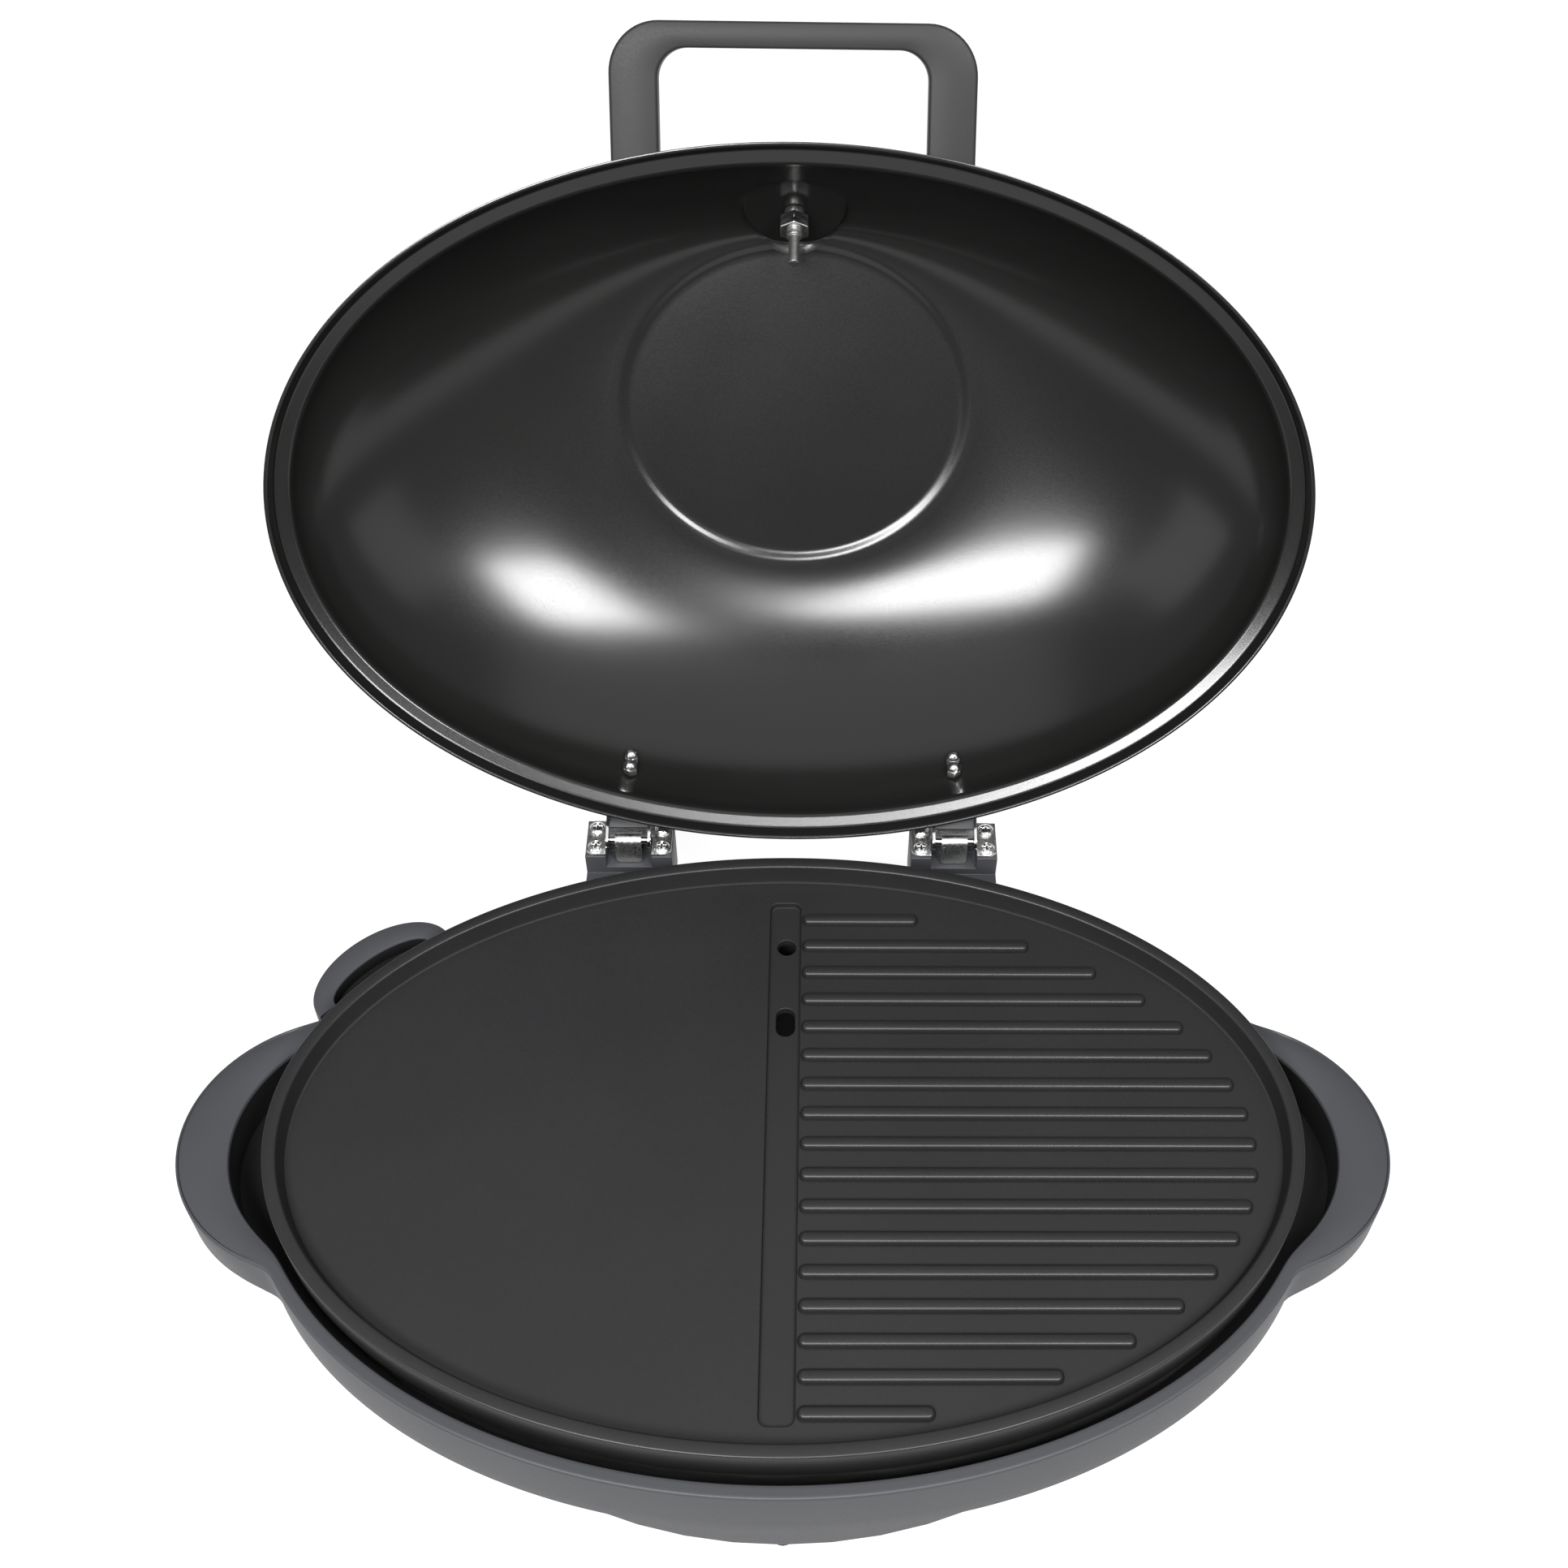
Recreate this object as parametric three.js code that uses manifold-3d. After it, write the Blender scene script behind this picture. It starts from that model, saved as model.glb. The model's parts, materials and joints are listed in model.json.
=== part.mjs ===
// Oval table griddle with a hinged domed lid, shown with the lid open.
// Millimetres, +Z up, +X to the right, +Y to the back. The floor is z = 0.
import * as THREE from "three";
import { mergeVertices } from "three/addons/utils/BufferGeometryUtils.js";
import Module from "manifold-3d";

const wasm = await Module();
wasm.setup();

// ---- driving dimensions ----
const seatGap = 0.3; // between two pieces that rest on each other
const ovalSteps = 56; // segments round an oval

// griddle plate
const plateHalfLength = 240;
const plateHalfWidth = 156;
const plateTop = 105; // flange height above the floor
const plateSkirt = 19.5; // height of the outer wall
const plateWall = 5;
const flangeWidth = 6;
const cookDepth = 10; // flange down to the cooking surface
const ribCount = 17;
const ribWidth = 7;
const ribHeight = 3.2;
const ribFieldHalfLength = plateHalfLength - 20.7; // the ribs end on this oval
const ribFieldHalfWidth = plateHalfWidth - 22;
const ribFieldY = -5.5; // middle of the ribbed field
const ribEndRoom = 6; // last rib to the end of the field
const ribPitch = (2 * (ribFieldHalfWidth - ribEndRoom)) / (ribCount - 1);
const ribFirstY = ribFieldY + ribFieldHalfWidth - ribEndRoom;
const channelLeft = -10;
const channelRight = 5.5;
const channelBack = plateHalfWidth - 22.5;
const channelFront = 17.5 - plateHalfWidth;
const channelDepth = 3;
const drainX = -1.5;
const drainHoleY = plateHalfWidth - 48;
const drainHoleRadius = 4.6;
const drainSlotY = plateHalfWidth - 92.5;
const drainSlotLength = 16;

// upper housing
const housingRim = 10; // housing edge beyond the plate edge
const plateGap = 3.5; // round the plate
const deckDrop = 19; // plate flange down to the deck of the housing
const deckTop = plateTop - deckDrop;
const housingHeight = 38;
const housingBottom = deckTop - housingHeight;
const housingWall = 3;
const gripShift = plateHalfLength - 30; // centre of the handle lobe from the middle
const gripHalfX = 75;
const gripHalfY = 68;
const gripY = 2;
const gripWidth = 24.5;
const gripBottom = deckTop - 24; // floor of the gap between the plate and the housing
const troughWidth = 10; // width of that floor

// thermostat inlet guard, rear left
const guardTurn = 133; // direction it faces, degrees from +X
const guardX = 36.2 - plateHalfLength;
const guardY = plateHalfWidth - 59.5;
const guardHalfLength = 38;
const guardDepth = 24.5;
const guardSlot = 11.5;
const mouthHalfWidth = 24;
const mouthLow = housingBottom + 9;
const slotFloor = deckTop - 9; // bottom of the slot in the top of the guard
const slotEnd = 10; // solid end of the slot

// lower housing
const tubHalfLength = plateHalfLength - 43;
const tubHalfWidth = plateHalfWidth + 2.5;
const tubBottom = 8;
const tubFloor = 2.5;
const footRadius = 5.5;
const footInset = 8; // foot centre from the edge of the tub

// heating element and thermostat inlet under the plate
const elementHalfLength = plateHalfLength - 82;
const elementHalfWidth = plateHalfWidth - 68;
const elementRadius = 3.5;
const elementCentre = 144.6; // direction of its two ends, degrees
const elementGap = 9; // half the angle between them
const inletZ = gripBottom + 7;
const inletPinX = 14;

// drip tray drawer
const trayHalfWidth = 52;
const trayFront = drainSlotY - 23.5;
const trayBottom = tubBottom + 14;
const trayHeight = housingBottom - trayBottom - 4;
const trayWall = 2;
const traySlack = 1;
const trayTravel = 100;

// lid
const lidHalfLength = plateHalfLength + 20;
const lidHalfWidth = plateHalfWidth + 18.7;
const lidWall = 1.3;
const lidRest = 0.4; // closed hem above the deck
const skirtHeight = 9;
const ledgeWidth = 8;
const domeHeight = 96; // hem to the top of the dome
const crownHalfLength = 95;
const crownHalfWidth = 86;
const crownShift = -37.5; // the flat crown sits towards the lid handle
const openAngle = 119;
const hingeY = lidHalfWidth + 2.9;
const hingeZ = deckTop + 5.5;

// lid handle
const handleHalfWidth = 87.8;
const handleLeg = 23.2;
const handleBar = 12;
const handleReach = lidHalfWidth + 52.7;
const handleZ = deckTop + 32;
const handleThick = 13;
const handleCorner = 24;

// thermometer
const gaugeY = 31.7 - lidHalfWidth;
const gaugeTilt = 42; // probe below horizontal, degrees
const gaugeRadius = 24;
const probeRadius = 2.7;
const probeLength = 25;
const threadRadius = 4;
const nutHeight = 7.5;
const collarRadius = 5; // between the lid wall and the nut
const collarHeight = 5;
const caseDepth = 9;
const gaugeFloor = -4; // bottom of the recess below the lid wall
const gaugeFace = 0.6; // underside of the dial

// hinges
const hingeX = 86.3;
const hingeHalfWidth = 23;
const strapHalfWidth = 11.7;
const pinRadius = 2;
const pinGap = 0.25; // running clearance round the pin
const hingeStep = deckTop - 14; // top of the hinge block in front of the bracket

// ---- derived values ----
const housingHalfLength = plateHalfLength + housingRim;
const housingHalfWidth = plateHalfWidth + housingRim;
const openingHalfLength = plateHalfLength + plateGap;
const openingHalfWidth = plateHalfWidth + plateGap;
const cookTop = plateTop - cookDepth;
const mouthHigh = slotFloor - housingWall;
const skirtBottom = plateTop - plateSkirt;
const hemBottom = deckTop + lidRest;
const domeTop = hemBottom + domeHeight;
const degree = Math.PI / 180;

// ---- solids ----
const matt = (color, roughness, metalness) => new THREE.MeshStandardMaterial({ color, roughness, metalness });
const castBlack = matt(0x2b2b2c, 0.55, 0.3);
const mouldedBlack = matt(0x3a3b3f, 0.5, 0);
const enamelBlack = matt(0x2c2c2b, 0.3, 0.4);
const chrome = matt(0xc8c8c6, 0.15, 1);
const steel = matt(0x9a9a98, 0.35, 1);
const satinGrey = matt(0x55555a, 0.4, 0.2);
const rubber = matt(0x1c1c1c, 0.8, 0);
const ceramic = matt(0xdcd8cc, 0.6, 0);
const dialWhite = matt(0xf0f0ec, 0.5, 0);
const needleRed = matt(0xb02020, 0.5, 0);
const clearGlass = new THREE.MeshStandardMaterial({ color: 0xffffff, transparent: true, opacity: 0.3 });

function solid(geometry) {
  const bare = new THREE.BufferGeometry();
  bare.setAttribute("position", geometry.getAttribute("position").clone());
  if (geometry.index) bare.setIndex(geometry.index.clone());
  const merged = mergeVertices(bare, 1e-4);
  const index = merged.index.array;
  const faces = [];
  for (let i = 0; i < index.length; i += 3) {
    const [a, b, c] = [index[i], index[i + 1], index[i + 2]];
    if (a !== b && b !== c && c !== a) faces.push(a, b, c);
  }
  const make = (triVerts) =>
    new wasm.Manifold(
      new wasm.Mesh({ numProp: 3, vertProperties: merged.attributes.position.array, triVerts }),
    );
  const made = make(new Uint32Array(faces));
  if (made.volume() > 0) return made;
  return make(new Uint32Array(faces.reverse()));
}

function meshOf(name, body, material) {
  const data = body.asOriginal().getMesh();
  const geometry = new THREE.BufferGeometry();
  geometry.setAttribute("position", new THREE.BufferAttribute(new Float32Array(data.vertProperties), 3));
  geometry.setIndex(new THREE.BufferAttribute(new Uint32Array(data.triVerts), 1));
  geometry.computeVertexNormals();
  const mesh = new THREE.Mesh(geometry, material);
  mesh.name = name;
  return mesh;
}

const box = (x0, x1, y0, y1, z0, z1) =>
  solid(
    new THREE.BoxGeometry(x1 - x0, y1 - y0, z1 - z0).translate((x0 + x1) / 2, (y0 + y1) / 2, (z0 + z1) / 2),
  );

// A closed body through oval levels {a, b, z, y}: half length, half width, height and centre in Y.
function loft(levels, steps = ovalSteps, closed = false) {
  const rows = closed ? [...levels, levels[0]] : levels;
  const points = rows.map((level) => new THREE.Vector2(level.a, level.z));
  const geometry = new THREE.LatheGeometry(points, steps);
  const position = geometry.getAttribute("position");
  for (let i = 0; i < position.count; i++) {
    const level = rows[i % rows.length];
    const turn = ((Math.floor(i / rows.length) % steps) / steps) * 2 * Math.PI;
    position.setXYZ(i, level.a * Math.cos(turn), (level.y ?? 0) + level.b * Math.sin(turn), level.z);
  }
  return solid(geometry);
}

const oval = (a, b, z0, z1, y = 0, steps = ovalSteps) =>
  loft(
    [{ a: 0, b: 0, z: z0, y }, { a, b, z: z0, y }, { a, b, z: z1, y }, { a: 0, b: 0, z: z1, y }],
    steps,
  );

const cylinder = (radius, z0, z1, x = 0, y = 0, steps = 20) =>
  solid(
    new THREE.CylinderGeometry(radius, radius, z1 - z0, steps)
      .rotateX(90 * degree)
      .translate(x, y, (z0 + z1) / 2),
  );

const extrude = (shape, depth, curveSegments = 4) =>
  solid(new THREE.ExtrudeGeometry(shape, { depth, bevelEnabled: false, curveSegments }));

function roundedRect(x0, x1, y0, y1, radius) {
  const shape = new THREE.Shape();
  shape.moveTo(x0 + radius, y0);
  shape.lineTo(x1 - radius, y0);
  shape.absarc(x1 - radius, y0 + radius, radius, -90 * degree, 0);
  shape.lineTo(x1, y1 - radius);
  shape.absarc(x1 - radius, y1 - radius, radius, 0, 90 * degree);
  shape.lineTo(x0 + radius, y1);
  shape.absarc(x0 + radius, y1 - radius, radius, 90 * degree, 180 * degree);
  shape.lineTo(x0, y0 + radius);
  shape.absarc(x0 + radius, y0 + radius, radius, 180 * degree, 270 * degree);
  return shape;
}

const slab = (x0, x1, y0, y1, z0, z1, radius, curveSegments = 3) =>
  extrude(roundedRect(x0, x1, y0, y1, radius), z1 - z0, curveSegments).translate([0, 0, z0]);

// ---- griddle plate ----
function plateBlank() {
  const a = plateHalfLength;
  const b = plateHalfWidth;
  const soft = 0.8;
  const level = (inset, z) => ({ a: a - inset, b: b - inset, z });
  const floor = cookTop - plateWall + 1;
  return loft([
    { a: 0, b: 0, z: cookTop },
    level(flangeWidth + 2, cookTop),
    level(flangeWidth, plateTop - soft),
    level(flangeWidth - soft, plateTop),
    level(soft, plateTop),
    level(0, plateTop - soft),
    level(0.4, skirtBottom),
    level(plateWall, skirtBottom),
    level(plateWall + 1, floor),
    { a: 0, b: 0, z: floor },
  ]);
}

function rib(y) {
  const end = ribFieldHalfLength * Math.sqrt(1 - ((y - ribFieldY) / ribFieldHalfWidth) ** 2);
  const r = ribWidth / 2;
  const soft = 1.1;
  const flat = (inset, top) =>
    slab(
      channelRight + inset, end - inset, y - r + inset, y + r - inset,
      cookTop - 0.5, cookTop + top, r - 0.3 - inset, 2,
    );
  return flat(0, ribHeight * 0.6).add(flat(soft, ribHeight));
}

function griddlePlate() {
  let plate = plateBlank();
  const under = slab(
    channelLeft - 3, channelRight + 3, channelFront - 3, channelBack + 3,
    cookTop - channelDepth - plateWall + 1, cookTop - plateWall + 1.5, 6,
  );
  const channel = slab(
    channelLeft, channelRight, channelFront, channelBack, cookTop - channelDepth, cookTop + 1, 4,
  );
  plate = plate.add(under).subtract(channel);
  for (let k = 0; k < ribCount; k++) plate = plate.add(rib(ribFirstY - k * ribPitch));
  const r = drainHoleRadius;
  const below = cookTop - 20;
  plate = plate.subtract(cylinder(r, below, cookTop, drainX, drainHoleY, 16));
  const half = drainSlotLength / 2;
  return plate.subtract(
    slab(drainX - r, drainX + r, drainSlotY - half, drainSlotY + half, below, cookTop, r - 0.1),
  );
}

// ---- upper housing ----
const gripLobe = (side, shift, grow, z0, z1) =>
  oval(gripHalfX + grow, gripHalfY + grow, z0, z1, gripY).translate([side * shift, 0, 0]);

// The guard's own frame: X along the housing edge, Y outwards.
const toGuard = (body) => body.rotate([0, 0, guardTurn - 90]).translate([guardX, guardY, 0]);

function housingOutline(grow, z0, z1) {
  const gripLow = grow < 0 ? z0 : Math.max(z0, gripBottom - housingWall);
  let body = oval(housingHalfLength + grow, housingHalfWidth + grow, z0, z1);
  for (const side of [-1, 1]) body = body.add(gripLobe(side, gripShift, grow, gripLow, z1));
  return body.add(toGuard(oval(guardHalfLength + grow, guardDepth + grow, z0, z1, 0, 40)));
}

function opening(grow, z0, z1) {
  let body = oval(openingHalfLength + grow, openingHalfWidth + grow, z0, z1);
  for (const side of [-1, 1]) {
    body = body.add(gripLobe(side, gripShift - gripWidth, grow, z0, z1));
  }
  return body;
}

// A level floor across the inside of the guard.
const guardShelf = (low) =>
  toGuard(oval(guardHalfLength - 1, guardDepth - 1, low, low + housingWall, 0, 40)).subtract(
    oval(housingHalfLength - housingWall, housingHalfWidth - housingWall, low - 1, deckTop),
  );

function upperHousing() {
  const wall = housingWall;
  const lipLow = gripBottom - wall;
  const hollow = housingOutline(-wall, housingBottom - 1, deckTop - wall);
  let body = housingOutline(0, housingBottom, deckTop).subtract(hollow);
  body = body.add(opening(wall + 0.6, lipLow, deckTop).intersect(housingOutline(0, lipLow, deckTop)));
  body = body.subtract(opening(0, gripBottom, deckTop + 1));
  body = body.subtract(
    oval(openingHalfLength - troughWidth, openingHalfWidth - troughWidth, lipLow - 1, deckTop),
  );
  body = body.add(guardShelf(housingBottom)).add(guardShelf(mouthHigh));
  const slot = toGuard(oval(guardHalfLength - slotEnd, guardSlot, slotFloor, deckTop + 1, 0, 32)).subtract(
    oval(housingHalfLength + 1.5, housingHalfWidth + 1.5, housingBottom, deckTop + 2),
  );
  const mouth = toGuard(box(-mouthHalfWidth, mouthHalfWidth, -18, guardDepth + 5, mouthLow, mouthHigh));
  return body.subtract(slot).subtract(mouth);
}

// ---- lower housing ----
function lowerHousing() {
  const rimZ = housingBottom + 0.3;
  const w = housingWall;
  const edge = 2.6;
  const a = tubHalfLength;
  const b = tubHalfWidth;
  let body = loft([
    { a: 0, b: 0, z: tubBottom },
    { a: a - edge, b: b - edge, z: tubBottom },
    { a, b, z: tubBottom + edge },
    { a: a + 1, b: b + 0.5, z: rimZ - w },
    { a: housingHalfLength - w - 0.4, b: housingHalfWidth - w - 0.4, z: rimZ - w },
    { a: housingHalfLength - w - 0.4, b: housingHalfWidth - w - 0.4, z: rimZ + w },
    { a: housingHalfLength - 2 * w - 0.4, b: housingHalfWidth - 2 * w + 1, z: rimZ + w },
    { a: housingHalfLength - 2 * w - 0.4, b: housingHalfWidth - 2 * w + 1, z: rimZ },
    { a: a - w, b: b - w, z: rimZ },
    { a: a - w, b: b - w, z: tubBottom + tubFloor },
    { a: 0, b: 0, z: tubBottom + tubFloor },
  ]);
  const s = traySlack;
  body = body.subtract(
    box(-trayHalfWidth - s, trayHalfWidth + s, 100, tubHalfWidth + 20,
      trayBottom - s, trayBottom + trayHeight + s),
  );
  for (const side of [-1, 1]) {
    const x = side * (trayHalfWidth - 8);
    body = body.add(
      box(x - 2, x + 2, trayFront, tubHalfWidth - 16, tubBottom + 1, trayBottom - seatGap),
    );
  }
  for (const place of screwPlaces) {
    body = body.add(screwPost(place)).subtract(screwBore(place));
  }
  return body;
}

function dripTray() {
  const w = trayWall;
  const x = trayHalfWidth;
  const top = trayBottom + trayHeight;
  const back = tubHalfWidth - 14;
  let body = box(-x, x, trayFront, back, trayBottom, top).subtract(
    box(-x + w, x - w, trayFront + w, back - w, trayBottom + w, top + 1),
  );
  const proud = 1 + seatGap; // inside of the panel beyond the tub wall
  const panelLip = 0.8;
  const around = (grow, low, high) =>
    oval(tubHalfLength + proud + grow, tubHalfWidth + proud + grow, low, high);
  const ring = around(w, trayBottom - 3, top + panelLip).subtract(around(0, trayBottom - 4, top + 4));
  const panel = ring.intersect(box(-x - 4, x + 4, 100, tubHalfWidth + 10, trayBottom - 3, top + panelLip));
  const far = tubHalfWidth + 5;
  const link = box(-x, x, back - w, far, trayBottom, trayBottom + w)
    .add(box(-x, -x + w, back - w, far, trayBottom, top))
    .add(box(x - w, x, back - w, far, trayBottom, top));
  const clip = around(1, trayBottom - 1, top + 1);
  const grip = slab(-26, 26, tubHalfWidth + proud, tubHalfWidth + 13, top - 6, top - 3, 5);
  return body.add(link.intersect(clip)).add(panel).add(grip);
}

// ---- inside the housing ----
function heatPan() {
  const rim = 3.4; // rim under the middle of the plate skirt
  const a = plateHalfLength - rim;
  const b = plateHalfWidth - rim;
  const low = gripBottom + seatGap;
  const t = 1;
  let pan = loft([
    { a: 0, b: 0, z: low },
    { a: a - 1, b: b - 1, z: low },
    { a, b, z: skirtBottom - seatGap },
    { a: a - t, b: b - t, z: skirtBottom - seatGap },
    { a: a - 1 - t, b: b - 1 - t, z: low + t },
    { a: 0, b: 0, z: low + t },
  ]);
  const side = 14; // room round the drain holes
  pan = pan.subtract(
    slab(drainX - side, drainX + side, drainSlotY - side - 1.5, drainHoleY + side, low - 1, low + t + 1, 5),
  );
  const inlet = mouthHalfWidth + 1;
  return pan.subtract(toGuard(box(-inlet, inlet, -60, 10, low + t + 0.5, mouthHigh + 2)));
}

const elementZ = cookTop - plateWall + 1 - channelDepth - 6;
const inletBlockInner = -44; // in the guard's frame

class ElementPath extends THREE.Curve {
  getPoint(t) {
    const halfGap = elementGap * degree;
    const turn = elementCentre * degree + halfGap + t * (2 * Math.PI - 2 * halfGap);
    return new THREE.Vector3(elementHalfLength * Math.cos(turn), elementHalfWidth * Math.sin(turn), elementZ);
  }
}

function tubeAlong(path, radius, steps, sides) {
  const ring = new THREE.Shape();
  for (let i = 0; i < sides; i++) {
    const turn = (i / sides) * 2 * Math.PI;
    if (i === 0) ring.moveTo(radius, 0);
    else ring.lineTo(radius * Math.cos(turn), radius * Math.sin(turn));
  }
  return solid(new THREE.ExtrudeGeometry(ring, { steps, extrudePath: path, bevelEnabled: false }));
}

const heatingElement = () => tubeAlong(new ElementPath(), elementRadius, 44, 6);

function elementClip(turn) {
  const [c, s] = [Math.cos(turn * degree), Math.sin(turn * degree)];
  const x = elementHalfLength * c;
  const y = elementHalfWidth * s;
  const across = Math.atan2(s / elementHalfWidth, c / elementHalfLength) / degree;
  const top = cookTop - plateWall + 1 - seatGap;
  const low = elementZ - elementRadius - 1.5;
  const outer = box(-7, 7, -5, 5, low, elementZ);
  const wings = box(-14, 14, -5, 5, top - 1.5, top).subtract(box(-5, 5, -6, 6, top - 3, top + 1));
  const legs = box(-7, 7, -5, 5, low, top);
  const inner = box(-5.2, 5.2, -6, 6, elementZ - elementRadius - 0.4, top + 1);
  return outer.add(legs).subtract(inner).add(wings).rotate([0, 0, across]).translate([x, y, 0]);
}

function inletBlock() {
  const body = box(-26, 26, inletBlockInner, inletBlockInner + 18, gripBottom + 2.5, elementZ + 4);
  const holes = [-inletPinX, 0, inletPinX].map((x) =>
    cylinder(x === 0 ? 3.3 : 2.8, -60, 60, 0, 0, 12).rotate([90, 0, 0]).translate([x, 0, inletZ]),
  );
  return toGuard(holes.reduce((left, hole) => left.subtract(hole), body));
}

const inletPin = (x, radius, reach) =>
  toGuard(
    cylinder(radius, 0, reach - inletBlockInner - 2, 0, 0, 12)
      .rotate([-90, 0, 0])
      .translate([x, inletBlockInner + 2, inletZ]),
  );

// ---- hinges on the housing ----
function hingeBlock(side) {
  const x = side * hingeX;
  const half = hingeHalfWidth;
  const top = hingeZ - 6.3;
  const rear = hingeY + 18;
  const front = hingeY - 6.6;
  const notch = strapHalfWidth + 0.4;
  let body = box(x - half, x + half, front - 50, rear, housingBottom + 3, top);
  body = body.subtract(box(x - notch, x + notch, front - 11, hingeY + 5, hingeZ - 15, top + 1));
  body = body.subtract(box(x - half - 1, x + half + 1, front - 60, front, hingeStep, top + 1));
  return body.subtract(
    oval(housingHalfLength + seatGap, housingHalfWidth + seatGap, housingBottom, deckTop + 20),
  );
}

const screwSpots = [
  [-1, -1.5],
  [-1, 11],
  [1, -1.5],
  [1, 11],
];
const earX = 17.4;
const earLow = hingeZ - 6;
const earThick = 1.5;

function hingeBracket(side) {
  const x = side * hingeX;
  const front = hingeY - 6;
  const back = hingeY + 16.5;
  const top = earLow + earThick;
  let body = slab(x - 22.5, x + 22.5, front, back, earLow, top, 4);
  body = body.subtract(box(x - 12.2, x + 12.2, front - 1, hingeY + 6, earLow - 1, top + 1));
  const curl = pinRadius + pinGap;
  const tab = 6.8;
  const aboutPin = (body) => body.rotate([0, 90, 0]).translate([x, hingeY, hingeZ]);
  const ring = aboutPin(cylinder(curl + 1.5, -tab, tab, 0, 0, 14));
  const bore = aboutPin(cylinder(curl, -20, 20, 0, 0, 14));
  const arm = box(x - tab, x + tab, hingeY, hingeY + 7, hingeZ - curl - 1.5, hingeZ - curl - 0.2).add(
    box(x - tab, x + tab, hingeY + 5.5, hingeY + 7, earLow, hingeZ - curl - 0.2),
  );
  const tongue = slab(x - tab, x + tab, -11, 3, 0, 1.4, 2.5)
    .translate([-x, 0, 0])
    .rotate([90, 0, 0])
    .translate([x, hingeY - curl - 0.1, hingeZ - 3]);
  return body.add(arm).add(ring).add(tongue).subtract(bore).subtract(screwHoles(side));
}

function screwHoles(side) {
  return screwSpots
    .map(([dx, dy]) => cylinder(2.3, earLow - 3, earLow + 5, side * hingeX + dx * earX, hingeY + dy, 12))
    .reduce((all, hole) => all.add(hole));
}

function hingeScrew(side, [dx, dy]) {
  const x = side * hingeX + dx * earX;
  const y = hingeY + dy;
  const seat = earLow + earThick + 0.1;
  const head = loft(
    [
      { a: 0, b: 0, z: seat },
      { a: 4.2, b: 4.2, z: seat },
      { a: 4.2, b: 4.2, z: seat + 1 },
      { a: 2.8, b: 2.8, z: seat + 2.3 },
      { a: 0, b: 0, z: seat + 2.6 },
    ],
    12,
  ).translate([x, y, 0]);
  const shank = cylinder(2, earLow - 0.2, seat + 0.5, x, y, 8);
  const cross = box(-2.2, 2.2, -0.45, 0.45, seat + 1.4, seat + 4);
  return head.add(shank).subtract(cross.add(cross.rotate([0, 0, 90])).translate([x, y, 0]));
}

const hingePin = (side) =>
  cylinder(pinRadius, -strapHalfWidth - 0.1, strapHalfWidth + 0.1, 0, 0, 16)
    .rotate([0, 90, 0])
    .translate([side * hingeX, hingeY, hingeZ]);

// ---- lid, modelled closed ----
function lidLevels(offset) {
  // offset 0 is the outer face, lidWall the inner face
  const level = (inset, z) => ({ a: lidHalfLength - inset, b: lidHalfWidth - inset, z, y: 0 });
  const skirtTop = hemBottom + skirtHeight;
  const shoulder = skirtTop + 5;
  const levels = [
    level(offset, hemBottom),
    level(0.6 + offset, hemBottom + 2),
    level(2 + offset, skirtTop - offset),
    level(2 + ledgeWidth - 1, skirtTop + 0.6 - offset),
    level(2 + ledgeWidth + offset, shoulder - offset * 0.5),
  ];
  const base = levels[levels.length - 1];
  const rise = domeTop - offset - base.z;
  for (const w of [0.06, 0.16, 0.32, 0.52, 0.76, 1]) {
    const height = (1 - (1 - w) ** 1.7) ** (1 / 1.5);
    levels.push({
      a: THREE.MathUtils.lerp(base.a, crownHalfLength, w),
      b: THREE.MathUtils.lerp(base.b, crownHalfWidth, w),
      y: crownShift * w,
      z: base.z + rise * height,
    });
  }
  return levels;
}

const crown = (z) => ({ a: 0, b: 0, z, y: crownShift });

// The solid lid outline, inset from the outer face.
const lidBody = (offset) =>
  loft([
    { a: 0, b: 0, z: hemBottom - Math.max(offset, 0) },
    { a: lidHalfLength - offset, b: lidHalfWidth - offset, z: hemBottom - Math.max(offset, 0) },
    ...lidLevels(offset).slice(1),
    crown(domeTop - offset),
  ]);

function gaugeFrame(body) {
  // +Z of the gauge points out of the lid
  const centre = gaugeCentre();
  return body.rotate([90 - gaugeTilt, 0, 0]).translate([0, centre.y, centre.z]);
}

function gaugeCentre() {
  const levels = lidLevels(0);
  let z = hemBottom;
  for (let i = 1; i < levels.length; i++) {
    const [near, far] = [levels[i - 1], levels[i]];
    const [y0, y1] = [near.y - near.b, far.y - far.b];
    if (gaugeY >= y0 && gaugeY <= y1) z = near.z + ((gaugeY - y0) / (y1 - y0)) * (far.z - near.z);
  }
  return { y: gaugeY, z };
}

function lidShell() {
  const cup = (radius, low) => gaugeFrame(cylinder(radius, low, 40, 0, 0, 24));
  const rimRadius = gaugeRadius + seatGap + lidWall;
  const outside = lidBody(0);
  let shell = outside.subtract(lidBody(lidWall).subtract(cup(rimRadius, gaugeFloor - lidWall)));
  shell = shell.subtract(cup(gaugeRadius + seatGap, gaugeFloor));
  shell = shell.subtract(gaugeFrame(cylinder(threadRadius + seatGap, -40, 40, 0, 0, 16)));
  for (const side of [-1, 1]) {
    for (const place of boltPlaces(side)) {
      shell = shell.subtract(boltFrame(cylinder(boltRadius + seatGap, -15, 15, 0, 0, 12), place));
    }
  }
  return shell;
}

// ---- hinge straps on the lid ----
// Two bolts with cap nuts hold each strap to the back wall of the lid.
const wallSlope = 66; // of the lid wall there, degrees above horizontal
const boltHeight = deckTop + 32; // middle of the pair
const boltSpacing = 8.6;
const boltRadius = 2;
const nutRadius = 4;

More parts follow.
